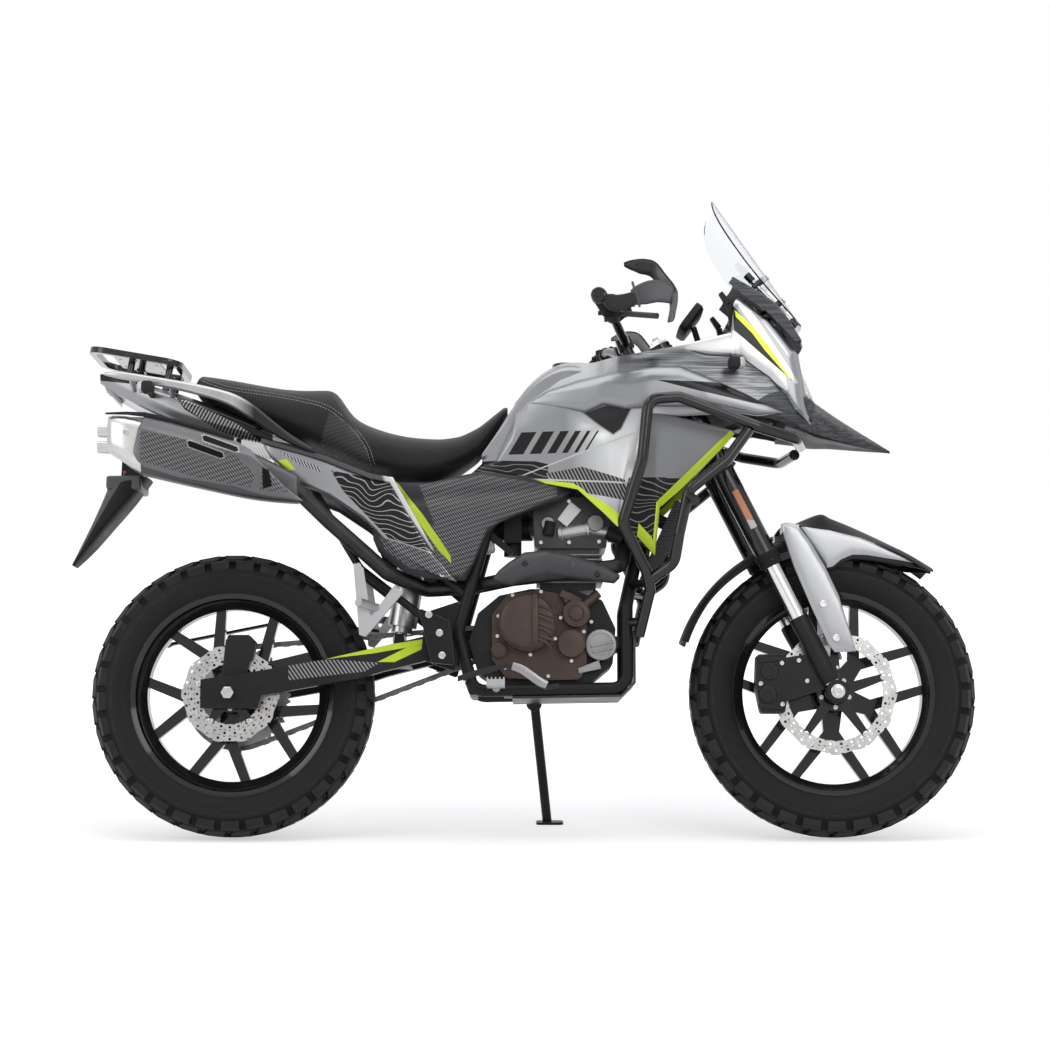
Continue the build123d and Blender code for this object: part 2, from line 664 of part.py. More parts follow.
def tank_shrouds():
    """Side bodywork from the tank forward, with the wing and the lower tongue."""
    upper = slab([(-23, 954), (-15, 988), (14, 1022), (86, 1073), (168, 1071), (265, 1090), (361, 1108),
                  (400, 1070), (586, 954), (447, 950), (293, 945), (256, 805), (221, 784), (42, 832),
                  (-60, 850)], -164, -139, 5)
    lower = slab([(262, 940), (401, 930), (398, 834), (317, 750), (298, 626), (256, 662), (222, 684),
                  (221, 784), (256, 800)], -164, -139)
    wing = slab([(185, 1028), (345, 1050), (568, 968), (584, 952), (445, 965), (288, 985), (232, 961)],
                -186, -164, 4)
    body = upper + lower + wing
    for x, z in ((20, 900), (190, 930)):
        body += seated(disc(x, z, 11, -140, -90), fuel_tank(), (0, -SEAT_GAP, 0))
    return both(body)


SCREEN_BASE, SCREEN_TOP = Vector(649, 0, 1175), Vector(450, 0, 1466)
SCREEN_PLANE = Plane(origin=SCREEN_BASE, x_dir=(0, 1, 0), z_dir=SCREEN_TOP - SCREEN_BASE)
SCREEN_HALF, SCREEN_SAG, SCREEN_T = 155.0, 44.0, 4.0


def screen_sheet(ahead):
    """The bent screen untrimmed, or with a distance ahead, the space that starts at its inside."""
    back = SCREEN_T + (SEAT_GAP if ahead else 0)
    half, sag = SCREEN_HALF, SCREEN_SAG
    outer = ThreePointArc((-half, sag - ahead), (0, -ahead), (half, sag - ahead))
    inner = ThreePointArc((-half, sag + back), (0, back), (half, sag + back))
    edges = outer + Line(outer @ 1, inner @ 1) + inner + Line(inner @ 0, outer @ 0)
    return extrude(SCREEN_PLANE * make_face(edges), (SCREEN_TOP - SCREEN_BASE).length)


def turn_signal(x, z, inner, outer):
    """A turn signal's stalk and lamp body on the right side."""
    stalk = rod((x, -inner, z), (x, -outer, z), 7)
    return stalk + block(x - 22, x + 22, -outer - 34, -outer + 4, z - 15, z + 15)


def front_fairing():
    """Nose panels beside the lamp, visor, side cheeks, beak and turn signals."""
    cheek = slab([(366, 1111), (477, 1134), (481, 1203), (507, 1214), (621, 1060), (630, 985),
                  (655, 930), (592, 957), (403, 1073)], -152, -CHEEK_IN, 2)
    body = both(cheek)
    visor = slab([(462, 1221), (477, 1258), (640, 1112), (618, 1052), (594, 1080), (498, 1204)], -140, 140)
    visor -= slab([(452, 1217), (486, 1232), (614, 1082), (640, 1040), (580, 1020), (440, 1190)], -130, 130)
    body += visor
    beak = sections([Station(600, 0, 100, 150, 139, 985, 960, 940, 925),
                     Station(682, 0, 60, 100, 90, 992, 955, 925, 905),
                     Station(850, 0, 4, 8, 6, 892, 889, 886, 884)])
    body += beak + both(turn_signal(480, 1056, CHEEK_IN + 2, 186))
    front = screen_sheet(400)
    for side in (-70, 70):
        x, z = 545, 1192
        away = SCREEN_PLANE.y_dir * -1
        post = Plane(origin=(x, side, z), z_dir=away)
        body += (extrude(post * Circle(6), 90) + extrude(post.offset(54) * Circle(12), 30)) - front
    return body


def headlamp():
    """Lamp body and lens behind the visor."""
    body = slab([(560, 1088), (622, 1054), (668, 996), (600, 988), (545, 1000)], -112, 112, 6)
    return body


def windscreen():
    """Clear bent screen."""
    sheet = screen_sheet(0)
    front = [(-60, 1180), (-120, 1230), (-155, 1330), (-150, 1400), (-90, 1462), (90, 1462),
             (150, 1400), (155, 1330), (120, 1230), (60, 1180)]
    mask = extrude(Plane.YZ.offset(300) * make_face(Polyline(*front, close=True)), 500)
    return sheet & mask


def instrument():
    """Display and its bracket on the fairing stay."""
    plane = Plane(origin=(392, 0, 1192), x_dir=(0, 1, 0), z_dir=(-0.8, 0, 0.6))
    body = plane * Box(150, 76, 22)
    x, _, z = steer_point(1010, STAY_REACH)
    foot = (x, 0, z + 9 + SEAT_GAP)
    return body + tube([tuple(plane.origin), (x, 0, 1148), foot], 8, 14)


def side_covers():
    """Lower side covers under the seat's nose."""
    points = [(-286, 796), (-238, 792), (-142, 814), (-89, 814), (40, 800), (40, 750), (19, 737),
              (-49, 709), (-77, 685), (-129, 584), (-137, 576), (-209, 580), (-261, 592), (-321, 640),
              (-333, 676)]
    body = slab(points, -136, -124, 6)
    for x, z in ((-110, 747), (-200, 758)):
        body += disc(x, z, 9, -125, -RAIL_SIDE)
    return both(body)


def rear_panels():
    """Upper panels below the pillion seat."""
    points = [(-580, 885), (-503, 867), (-423, 842), (-318, 810), (-290, 800), (-337, 680), (-350, 736),
              (-382, 781), (-495, 801)]
    return both(slab(points, -138, -RAIL_SIDE, 4))


def seat():
    """One-piece stepped seat."""
    body = sections([Station(-748, 0, 84, 118, 108, 1050, 1034, 1010, 1008),
                     Station(-508, 0, 92, 128, 118, 1046, 1016, 908, 896),
                     Station(-439, 0, 94, 132, 122, 1020, 990, 876, 864),
                     Station(-404, 0, 96, 134, 124, 968, 944, 858, 846),
                     Station(-347, 0, 96, 134, 124, 934, 908, 838, 826),
                     Station(-255, 0, 92, 130, 120, 911, 888, 822, 812),
                     Station(-183, 0, 82, 116, 108, 906, 884, 828, 816),
                     Station(-98, 0, 58, 78, 74, 936, 908, 874, 866),
                     Station(-30, 0, 44, 58, 54, 990, 984, 977, 972)])
    for x, z in ((-190, 757), (-640, 927)):
        for side in (-1, 1):
            foot = rod((x, side * RAIL_Y, z), (x, side * RAIL_Y, z + 70), 9)
            body += foot - rail_tube(side, SEAT_GAP) - block(x - 20, x + 20, -130, 130, z - 30, z)
    return body


TAIL_END = -935.0


def tail_unit():
    """Tail fairing round the rear of the subframe, with two signal stalks."""
    body = sections([Station(-503, 0, 110, 138, 124, 893, 886, 878, 870),
                     Station(-765, 0, 100, 134, 120, 992, 980, 960, 930),
                     Station(TAIL_END, 0, 70, 92, 80, 1050, 1030, 1005, 985)])
    body -= block(-800, -480, -RAIL_SIDE, RAIL_SIDE, 800, 1040)
    return body + both(turn_signal(-836, 998, 90, 200))


def tail_lamp():
    """Tail lamp across the tail's end."""
    x = TAIL_END - SEAT_GAP
    return slab([(x, 1050), (x - 30, 1058), (x - 14, 1015), (x, 1000)], -68, 68, 3)


def grab_rails():
    """Cast rails beside the pillion seat."""
    points = [(-941, 1045), (-914, 1052), (-640, 1008), (-578, 930), (-560, 905), (-590, 905),
              (-640, 990), (-914, 1034)]
    body = slab(points, -172, -150, 3)
    posts = rod((-592, -156, 925), (-592, -118, 912), 7)
    for x, z, inner, low in ((-788, 1018, 118, 972), (-879, 1034, 80, 984)):
        posts += rod((x, -158, z), (x, -inner, low), 6)
    return both(body + seated(posts, tail_unit(), (0, -SEAT_GAP, 0)))


RACK_PLANE = Plane(origin=(-882, 0, 1092), x_dir=(0.985, 0, -0.17), z_dir=(0.17, 0, 0.985))
RACK_LENGTH, RACK_WIDTH = 216.0, 220.0
RACK_BOLT_PCD, RACK_BOLT_R = 120.0, 3.3


def rear_rack():
    """Luggage rack: a tube loop, a drilled plate and four feet on the tail."""
    x, y = RACK_LENGTH / 2, RACK_WIDTH / 2
    loop = RectangleRounded(2 * x, 2 * y, 40) - RectangleRounded(2 * x - 32, 2 * y - 32, 26)
    body = extrude(RACK_PLANE.offset(-7) * loop, 14)
    plate = Rectangle(110, 2 * y - 20)
    holes = [Pos(*polar(RACK_BOLT_PCD / 2, 45 + 90 * k)) * Circle(RACK_BOLT_R) for k in range(4)]
    body += extrude(RACK_PLANE.offset(-3) * (plate - holes), 6)
    feet = None
    for along in (-10, 78):
        for side in (-64, 64):
            foot = RACK_PLANE * Pos(along, side, -40) * Cylinder(8, 70)
            foot += extrude(RACK_PLANE.offset(-6) * Pos(along, side * 1.35) * Rectangle(20, 60), 6)
            feet = foot if feet is None else feet + foot
    return body + seated(feet, tail_unit(), (0, 0, SEAT_GAP))


def rear_mudguard():
    """Plate holder and mudguard behind the rear wheel."""
    def under_tail(x):
        return 985 - SEAT_GAP + (x - TAIL_END) / (-765 - TAIL_END) * (930 - 985)

    points = [(-979, 850), (TAIL_END, under_tail(TAIL_END)), (-860, under_tail(-860)), (-868, 810),
              (-946, 706), (-1031, 625), (-1022, 660)]
    return slab(points, -70, 70, 4)


def footpegs():
    """Rider pegs and heel plates."""
    plate = slab([(-230, 512), (-160, 482), (-148, 383), (-200, 389)], -152, -144, 5)
    plate += rod((-182, -144, 455), (-182, -112.2, 455), 8)
    plate += rod((-176, -144, 405), (-176, -112.2, 405), 8)
    peg = block(-76, -36, -250, -140, 332, 346)
    peg += rod((-56, -140, 334), (-56, -122.3, 334), 9)
    return both(plate) + both(peg) + both(passenger_peg())


def passenger_peg():
    """Cast hanger with a folded passenger peg."""
    hanger = slab([(-375, 612), (-352, 600), (-335, 490), (-284, 560), (-262, 545), (-346, 446),
                   (-360, 450)], -160, -148, 3)
    hanger += rod((-320, -150, 510), (-360, -200, 520), 10)
    x, y, z = HANGER_TOP
    hanger += rod((x, -150, z), (x, -y - STRUT_R - SEAT_GAP, z), 6)
    return hanger


def pedal_tube():
    """The space of the cradle's rear bend, where the pedal pivots."""
    points = [(0, -CRADLE_Y, 331), (-108, -CRADLE_Y, 329), (-142, -CRADLE_Y, 460)]
    return tube(points, CRADLE_R + SEAT_GAP, 34)


def foot_controls():
    """Brake pedal on the right and gear lever on the left."""
    points = [(-140, 356), (-106, 368), (-34, 386), (10, 367), (54, 336), (83, 340), (83, 330),
              (50, 326), (6, 354), (-34, 374), (-106, 354), (-140, 344)]
    pedal = slab(points, -200, -190)
    pedal += rod((-124, -200, 354), (-124, -CRADLE_Y, 354), 8) - pedal_tube()
    lever = slab(thick_line((-15, 385), (95, 352), 20, 14), 128, 136)
    lever += rod((-15, 88.2, 385), (-15, 132, 385), 8)
    lever += rod((92, 132, 353), (92, 176, 353), 8)
    return pedal + lever


# ================================================================ front end
YOKE_LOW, YOKE_HIGH = 868.0, 1078.0
CLAMP_R = 28.0
AXLE_BOSS_R = 24.0
FORK_SEAM = 600.0               # lower end of the upper tubes


def fork_yokes():
    """Stem, both triple clamps and the upper fork tubes."""
    body = steer_bar(YOKE_LOW, YOKE_HIGH, STEM_R)
    for height, thick, back, waist in ((YOKE_LOW - 18, 26, -20, 24), (YOKE_HIGH - 10, 22, -38, 54)):
        plane = steer_plane(height)
        half = [(back, waist), (16, 104), (60, 104)]
        shape = make_face(Polyline(*half, *[(x, -y) for x, y in reversed(half)], close=True))
        for side in (-FORK_SPREAD, FORK_SPREAD):
            shape += Pos(FORK_OFFSET, side) * Circle(CLAMP_R)
        body += extrude(plane * shape, thick)
    for side in (-FORK_SPREAD, FORK_SPREAD):
        body += steer_bar(FORK_SEAM, 1098, UPPER_TUBE_R, FORK_OFFSET, side)
    return body


def fork_legs():
    """Chrome sliders, axle lugs and the front axle."""
    body = None
    for side in (-FORK_SPREAD, FORK_SPREAD):
        leg = steer_bar(330, FORK_SEAM - SEAT_GAP, SLIDER_R, FORK_OFFSET, side)
        leg += disc(FRONT_AXLE_X, FRONT_AXLE_Z, AXLE_BOSS_R, side - 20, side + 20)
        body = leg if body is None else body + leg
    body += disc(FRONT_AXLE_X, FRONT_AXLE_Z, AXLE_R, -124, 124)
    body -= disc(FRONT_AXLE_X, FRONT_AXLE_Z, 6, -130, -70)
    return body


def handlebar():
    """Bar, risers, grips, levers and handguards."""
    bar = tube([(168, -BAR_HALF, 1158), (205, -190, 1160), (238, -80, 1130), (238, 80, 1130),
                (205, 190, 1160), (168, BAR_HALF, 1158)], BAR_R, 50)
    body = bar
    for side in (-40, 40):
        body += steer_bar(YOKE_HIGH + 10, 1138, 14, -22, side)
    lever = rod((204, -213, 1160), (203, -235, 1160), 17) + rod((205, -222, 1166), (243, -398, 1146), 6)
    body += both(lever)
    for side in (-1, 1):
        body += rod((185, side * 290, 1158.5), (168, side * 418, 1158), 16)
    guard = slab([(221, 1232), (291, 1228), (334, 1174), (340, 1155), (332, 1115), (253, 1134),
                  (300, 1165), (268, 1205), (244, 1220)], -430, -300, 5)
    guard += tube([(168, -BAR_HALF - 6, 1158), (215, -440, 1128), (290, -425, 1128)], 7, 24)
    guard += rod((202, -250, 1160), (300, -306, 1138), 7)
    return body + both(guard)


FENDER_GAP = 38.0
FENDER_HALF = 66.0
BLADE = [(588, 705), (634, 723), (680, 730), (770, 698), (860, 656), (939, 608)]


def front_fender():
    """Fender over the tyre, the raised blade on it, and side arms to the fork."""
    outer = FRONT_TYRE_R + FENDER_GAP
    arc = ring(FRONT_AXLE_X, FRONT_AXLE_Z, outer + 5, outer, -FENDER_HALF, FENDER_HALF)
    keep = slab([(FRONT_AXLE_X, FRONT_AXLE_Z), (FRONT_AXLE_X + 560, FRONT_AXLE_Z + 640),
                 (FRONT_AXLE_X - 300, FRONT_AXLE_Z + 800), (FRONT_AXLE_X - 700, FRONT_AXLE_Z + 230)],
                -80, 80)
    arm = slab([(584, 703), (625, 703), (694, 601), (747, 417), (692, 434), (609, 611)], -126, -121)
    arm += block(588, 624, -126, -60, 682, 702)
    leg = steer_bar(330, FORK_SEAM + 100, SLIDER_R + SEAT_GAP, FORK_OFFSET, -FORK_SPREAD)
    for height in (455, 545):
        start = steer_point(height, FORK_OFFSET + 46, -FORK_SPREAD - 24)
        end = steer_point(height, FORK_OFFSET, -FORK_SPREAD)
        arm += rod(start, end, 6) - leg
    blade = slab(BLADE + [(x, z - 6) for x, z in reversed(BLADE)], -FENDER_HALF, FENDER_HALF)
    blade += slab([(588, 702), (594, 702), (594, 668), (588, 668)], -FENDER_HALF, FENDER_HALF)
    return (arc & keep) + blade + both(arm)


def front_caliper():
    """Caliper over the front disc, on the right leg."""
    gap_low, gap_high = FRONT_DISC_Y - 5.5, FRONT_DISC_Y + 5.5
    body = slab([(528, 412), (590, 412), (600, 350), (590, 280), (536, 280), (524, 340)], -96, -52, 8)
    body -= disc(FRONT_AXLE_X, FRONT_AXLE_Z, FRONT_DISC_R + 6, gap_low, gap_high)
    bracket = slab([(590, 404), (652, 414), (690, 352), (690, 338), (592, 306)], -96, -84)
    bracket -= steer_bar(320, FORK_SEAM, SLIDER_R + SEAT_GAP, FORK_OFFSET, -FORK_SPREAD)
    bracket -= disc(FRONT_AXLE_X, FRONT_AXLE_Z, AXLE_BOSS_R + SEAT_GAP, -130, -70)
    return body + bracket


# ================================================================ side stand
def side_stand():
    """Leg with a foot that lies flat on the ground when the bike leans on it."""
    px, py, pz = STAND_PIVOT
    norm = math.sqrt(sum(v * v for v in STAND_DOWN))
    dx, dy, dz = (v / norm for v in STAND_DOWN)
    length = (pz - py * TILT - FOOT_T) / (dy * TILT - dz)
    end = (px + dx * length, py + dy * length, pz + dz * length)
    leg = rod(STAND_PIVOT, end, STAND_R)
    lean = math.radians(LEAN)
    ground = Plane(origin=(end[0] + 6, end[1] + 6, (end[1] + 6) * TILT), x_dir=(1, 0, 0),
                   z_dir=(0, -math.sin(lean), math.cos(lean)))
    foot = extrude(ground * RectangleRounded(64, 46, 12), FOOT_T)
    leg += foot
    leg += extrude(stand_plane().offset(-HUB_HALF) * Circle(18), 2 * HUB_HALF)
    return leg


# ================================================================ all sub-parts
def build():
    """Every sub-part by name, upright."""
    ax, az, fx, fz = REAR_AXLE_X, REAR_AXLE_Z, FRONT_AXLE_X, FRONT_AXLE_Z
    return {
        "frame": frame(),
        "swingarm": swingarm(),
        "rear_shock": rear_shock(),
        "rear_caliper": rear_caliper(),
        "chain": chain(),
        "engine_case": engine_case(),
        "clutch_cover": clutch_cover(),
        "cylinder_head": cylinder_head(),
        "carburettor": carburettor(),
        "radiator": radiator(),
        "exhaust_pipe": exhaust_pipe(),
        "heat_shield": heat_shield(),
        "muffler": muffler(),
        "muffler_shield": muffler_shield(),
        "skid_plate": skid_plate(),
        "crash_bars": crash_bars(),
        "fuel_tank": fuel_tank(),
        "tank_shrouds": tank_shrouds(),
        "front_fairing": front_fairing(),
        "headlamp": headlamp(),
        "windscreen": windscreen(),
        "instrument": instrument(),
        "side_covers": side_covers(),
        "rear_panels": rear_panels(),
        "seat": seat(),
        "tail_unit": tail_unit(),
        "tail_lamp": tail_lamp(),
        "grab_rails": grab_rails(),
        "rear_rack": rear_rack(),
        "rear_mudguard": rear_mudguard(),
        "footpegs": footpegs(),
        "foot_controls": foot_controls(),
        "fork_yokes": fork_yokes(),
        "fork_legs": fork_legs(),
        "handlebar": handlebar(),
        "front_fender": front_fender(),
        "front_caliper": front_caliper(),
        "rear_rim": rim(ax, az, REAR_RIM_HALF, REAR_RIM_IN, 48, hub_face(REAR_DISC_Y, DISC_T),
                        CHAIN_Y - SPROCKET_T / 2 - SEAT_GAP, 90, 45, 18, 22),
        "rear_tyre": tyre(ax, az, REAR_TYRE_R, REAR_CROWN_HALF, REAR_TYRE_HALF, REAR_RIM_HALF),
        "rear_disc": wave_disc(ax, az, REAR_DISC_R, REAR_DISC_IN, REAR_DISC_Y, 10),
        "rear_sprocket": sprocket(ax, az, REAR_TEETH, DISC_BORE_R),
        "front_rim": rim(fx, fz, FRONT_RIM_HALF, FRONT_RIM_IN, 46, hub_face(FRONT_DISC_Y, DISC_T), 64,
                         88, 52, 23, 20),
        "front_tyre": tyre(fx, fz, FRONT_TYRE_R, FRONT_CROWN_HALF, FRONT_TYRE_HALF, FRONT_RIM_HALF),
        "front_disc": wave_disc(fx, fz, FRONT_DISC_R, FRONT_DISC_IN, FRONT_DISC_Y, 12),
        "side_stand": side_stand(),
    }


def parked(shape):
    """The shape leaned onto the side stand and set over the origin."""
    return Pos(0, BOX_SHIFT, 0) * Rot(-LEAN, 0, 0) * shape


if __name__ == "__main__":
    os.makedirs("parts", exist_ok=True)
    for name, shape in build().items():
        export_step(parked(shape), f"parts/{name}.step")
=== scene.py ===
"""A dual sport motorcycle on its side stand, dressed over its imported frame, in metres."""
import bpy
import bmesh
import math
import numpy as np
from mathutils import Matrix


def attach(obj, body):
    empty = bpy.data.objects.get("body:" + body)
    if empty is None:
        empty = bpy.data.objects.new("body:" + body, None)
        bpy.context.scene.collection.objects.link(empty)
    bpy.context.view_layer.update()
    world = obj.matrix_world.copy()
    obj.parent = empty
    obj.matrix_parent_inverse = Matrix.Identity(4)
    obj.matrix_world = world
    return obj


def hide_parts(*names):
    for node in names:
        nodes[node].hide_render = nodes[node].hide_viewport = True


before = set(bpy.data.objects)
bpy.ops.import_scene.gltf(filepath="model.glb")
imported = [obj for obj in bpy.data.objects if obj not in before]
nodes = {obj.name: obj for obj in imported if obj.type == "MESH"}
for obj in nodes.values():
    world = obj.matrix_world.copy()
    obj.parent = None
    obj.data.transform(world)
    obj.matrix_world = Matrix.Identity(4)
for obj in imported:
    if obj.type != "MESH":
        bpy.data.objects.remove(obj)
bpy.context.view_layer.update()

# ---- studio: camera beside the machine, pale floor, soft lights --------------------------------
# A seamless pale floor runs under and behind the machine. Three large soft boxes hang over and in
# front of it, and everything that mirrors or sees past the machine meets the same white.
scene = bpy.context.scene
scene.view_settings.view_transform = 'Standard'
camera = bpy.data.objects.new("camera", bpy.data.cameras.new("camera"))
scene.collection.objects.link(camera)
camera.location = (0.008, -5.5474, 0.711)      # level with the seat, on the machine's right
camera.rotation_euler = (math.pi / 2, 0, 0)
camera.data.lens = 81.87
camera.data.sensor_width = 36
camera.data.clip_end = 200
scene.camera = camera


def add(tree, kind, settings=None, **inputs):
    """A shader node: settings go on the node, and inputs are numbers, colours or sockets."""
    made = tree.nodes.new("ShaderNode" + kind)
    for key, value in (settings or {}).items():
        setattr(made, key, value)
    for key, value in inputs.items():
        numbered = key[0] == "i" and key[1:].isdigit()
        socket = made.inputs[int(key[1:]) if numbered else key.replace("_", " ")]
        if isinstance(value, bpy.types.NodeSocket):
            tree.links.new(value, socket)
        elif isinstance(value, bpy.types.Node):
            tree.links.new(value.outputs[0], socket)
        else:
            socket.default_value = value
    return made


def calc(tree, operation, a, b=0.0, c=0.0):
    """One number from others: operation is a Math node's word."""
    return add(tree, "Math", {"operation": operation}, i0=a, i1=b, i2=c).outputs[0]


def seen_past(tree):
    """1 for rays that look past the machine, from the eye, a mirror or glass, else 0."""
    path = add(tree, "LightPath")
    mirror_or_glass = calc(tree, "MAXIMUM", path.outputs["Is Glossy Ray"],
        path.outputs["Is Transmission Ray"])
    return calc(tree, "MAXIMUM", path.outputs["Is Camera Ray"], mirror_or_glass)


world = bpy.data.worlds.new("studio")
scene.world = world
world.use_nodes = True
sky = world.node_tree
sky.nodes.clear()
dim = add(sky, "Background", Color=(0.94, 0.96, 1.0, 1), Strength=0.34)
white = add(sky, "Background", Color=(1, 1, 1, 1), Strength=1.0)
both_skies = add(sky, "MixShader", i0=seen_past(sky), i1=dim, i2=white)
add(sky, "OutputWorld", Surface=both_skies)


def soft_box(name, place, aim, size, power):
    """A square area light at place, turned to aim, both in metres."""
    light = bpy.data.lights.new(name, 'AREA')
    light.shape = 'RECTANGLE'
    light.size, light.size_y = size
    light.energy = power
    holder = bpy.data.objects.new(name, light)
    scene.collection.objects.link(holder)
    holder.location = place
    away = np.array(aim, float) - np.array(place, float)
    flat = math.hypot(away[0], away[1])
    holder.rotation_euler = (math.atan2(flat, -away[2]), 0, math.atan2(-away[0], away[1]))


soft_box("top_box", (0.0, -0.4, 3.4), (0, 0, 0.5), (4.0, 2.6), 62)
soft_box("front_box", (1.8, -3.8, 2.5), (0.2, 0, 0.6), (2.2, 1.8), 40)
soft_box("rear_box", (-2.8, -2.2, 2.0), (-0.3, 0, 0.6), (1.6, 1.8), 24)

floor_mesh = bpy.data.meshes.new("floor")
floor_mesh.from_pydata([(-60, -60, 0), (60, -60, 0), (60, 60, 0), (-60, 60, 0)], [], [(0, 1, 2, 3)])
floor = bpy.data.objects.new("floor", floor_mesh)
scene.collection.objects.link(floor)


def bare_material(name):
    """A new material with an empty node tree, and the tree."""
    material = bpy.data.materials.new(name)
    material.use_nodes = True
    material.node_tree.nodes.clear()
    return material, material.node_tree


ground, tree = bare_material("pale_floor")
matt = add(tree, "BsdfDiffuse", Color=(0.74, 0.74, 0.75, 1))
distance = add(tree, "VectorMath", {"operation": 'LENGTH'},
    i0=add(tree, "TexCoord").outputs["Object"]).outputs["Value"]
fade = add(tree, "MapRange", {"interpolation_type": 'SMOOTHSTEP'}, i0=distance, i1=0.8, i2=4.5, i3=0.55,
           i4=1.0)
glow = add(tree, "Emission", Color=(1, 1, 1, 1), Strength=fade)
lit = add(tree, "AddShader", i0=matt, i1=glow)
add(tree, "OutputMaterial", Surface=add(tree, "MixShader", i0=seen_past(tree), i1=matt, i2=lit))
floor_mesh.materials.append(ground)

# ---- powder-coated tube frame --------------------------------------------------------------------
# The steering head, cradle, seat rails, pivot plates and swingarm are welded steel tube and plate in
# satin black powder coat. It has a fine orange peel, and rubs grey along its edges and welds.
LEAN = math.radians(7.5)
SHIFT = -147.4                     # across, so that the leaning machine stands over the origin


def leaned(points):
    """Upright millimetres to metres on the stand: turned by the lean about X, then shifted across."""
    p = np.asarray(points, float) / 1000
    y = p[..., 1] * math.cos(LEAN) + p[..., 2] * math.sin(LEAN) + SHIFT / 1000
    z = -p[..., 1] * math.sin(LEAN) + p[..., 2] * math.cos(LEAN)
    return np.stack([p[..., 0], y, z], -1)


def upright(tree):
    """Object coordinates as upright millimetres: the lean is turned back about X."""
    place = add(tree, "TexCoord").outputs["Object"]
    made = add(tree, "Mapping", {"vector_type": 'POINT'}, i0=place)
    made.inputs["Scale"].default_value = (1000, 1000, 1000)
    made.inputs["Rotation"].default_value = (LEAN, 0, 0)
    made.inputs["Location"].default_value = (0, -SHIFT * math.cos(LEAN), -SHIFT * math.sin(LEAN))
    return made.outputs[0]


def noise(tree, place, size, detail=3.0, rough=0.55):
    """Fractal noise from 0 to 1 whose lumps are about size millimetres."""
    return add(tree, "TexNoise", None, Vector=place, Scale=1.0 / size, Detail=detail,
        Roughness=rough).outputs[0]


def blend_colours(tree, share, a, b):
    """Colour a where share is 0 and b where it is 1."""
    made = add(tree, "Mix", {"data_type": 'RGBA'})
    for socket, value in ((made.inputs[0], share), (made.inputs[6], a), (made.inputs[7], b)):
        if isinstance(value, bpy.types.NodeSocket):
            tree.links.new(value, socket)
        else:
            socket.default_value = (*value, 1) if isinstance(value, tuple) and len(value) == 3 else value
    return made.outputs[2]


def spread(tree, value, low, high, to_low=0, to_high=1):
    """value from low to high carried to to_low to to_high, and held there."""
    made = add(tree, "MapRange", {"clamp": True})
    tree.links.new(value, made.inputs[0])
    for k, number in enumerate((low, high, to_low, to_high)):
        made.inputs[k + 1].default_value = number
    return made.outputs[0]


def times(tree, a, b):
    """Two numbers multiplied."""
    return calc(tree, "MULTIPLY", a, b)


def finish(name, colour, rough, metal=0.0, shade=0.12, lump=60.0, grain=0.8, height=0.05, coat=0.0,
           sheen=0.0, round_edge=0.0, edge_wear_and_highlight=None, art_and_painted_light=None, pattern=None):
    """A paint, plastic or metal. Its colour drifts by shade over lumps, and its roughness with it. The
    surface rises by height times a grain, both in millimetres. The edge colour tints rubbed edges on
    most finishes, and is a painted highlight along the tread blocks' edges. The colour function, for
    graphics and on some finishes for painted shade and highlights, takes (tree, place, colour) and
    returns a new colour, and pattern(tree, place) a relief in millimetres."""
    material, tree = bare_material(name)
    place = upright(tree)
    drift = noise(tree, place, lump)
    fine = noise(tree, place, grain, 2.0)
    dark = tuple(c * (1 - shade) for c in colour)
    pale = tuple(min(1, c * (1 + shade)) for c in colour)
    tone = blend_colours(tree, spread(tree, drift, 0.3, 0.7), dark, pale)
    gloss = spread(tree, drift, 0.3, 0.7, max(0.02, rough * 0.85), min(1, rough * 1.15))
    relief = times(tree, fine, height)
    if pattern:
        relief = calc(tree, "ADD", relief, pattern(tree, place))
    normal = None
    if round_edge:
        normal = add(tree, "Bevel", {"samples": 3}, Radius=round_edge / 1000).outputs[0]
    # Paler edges by a bevel mask: rubbed paint on most finishes, a painted highlight on the tread blocks.
    if edge_wear_and_highlight:
        shape = add(tree, "NewGeometry")
        soft = add(tree, "Bevel", {"samples": 3}, Radius=0.0016).outputs[0]
        bend = add(tree, "VectorMath", {"operation": 'DOT_PRODUCT'}, i0=soft,
            i1=shape.outputs["Normal"]).outputs["Value"]
        patchy = noise(tree, place, 9.0, 4.0, 0.7)
        edge = calc(tree, "SUBTRACT", 1.0, bend)
        share = spread(tree, times(tree, edge, patchy), 0.03, 0.16, 0, 0.75)
        tone = blend_colours(tree, share, tone, edge_wear_and_highlight)
    if art_and_painted_light:
        tone = art_and_painted_light(tree, place, tone)
    bump = add(tree, "Bump", None, Strength=1.0, Distance=0.001, Height=relief)
    if normal:
        tree.links.new(normal, bump.inputs["Normal"])
    shader = add(tree, "BsdfPrincipled", None, Roughness=gloss, Normal=bump)
    tree.links.new(tone, shader.inputs["Base Color"])
    shader.inputs["Metallic"].default_value = metal
    shader.inputs["Specular IOR Level"].default_value = 0.16
    shader.inputs["Coat Weight"].default_value = coat
    shader.inputs["Coat Roughness"].default_value = 0.06
    shader.inputs["Sheen Weight"].default_value = sheen
    add(tree, "OutputMaterial", Surface=shader)
    return material


def dress(material, *names):
    """Gives CAD nodes their finish."""
    for name in names:
        data = nodes[name].data
        data.materials.clear()
        data.materials.append(material)


powder_black = finish("powder_black", (0.014, 0.014, 0.015), 0.4, shade=0.2, grain=1.2, height=0.04,
                      round_edge=1.2, edge_wear_and_highlight=(0.14, 0.14, 0.145))
dress(powder_black, "frame", "side_stand")

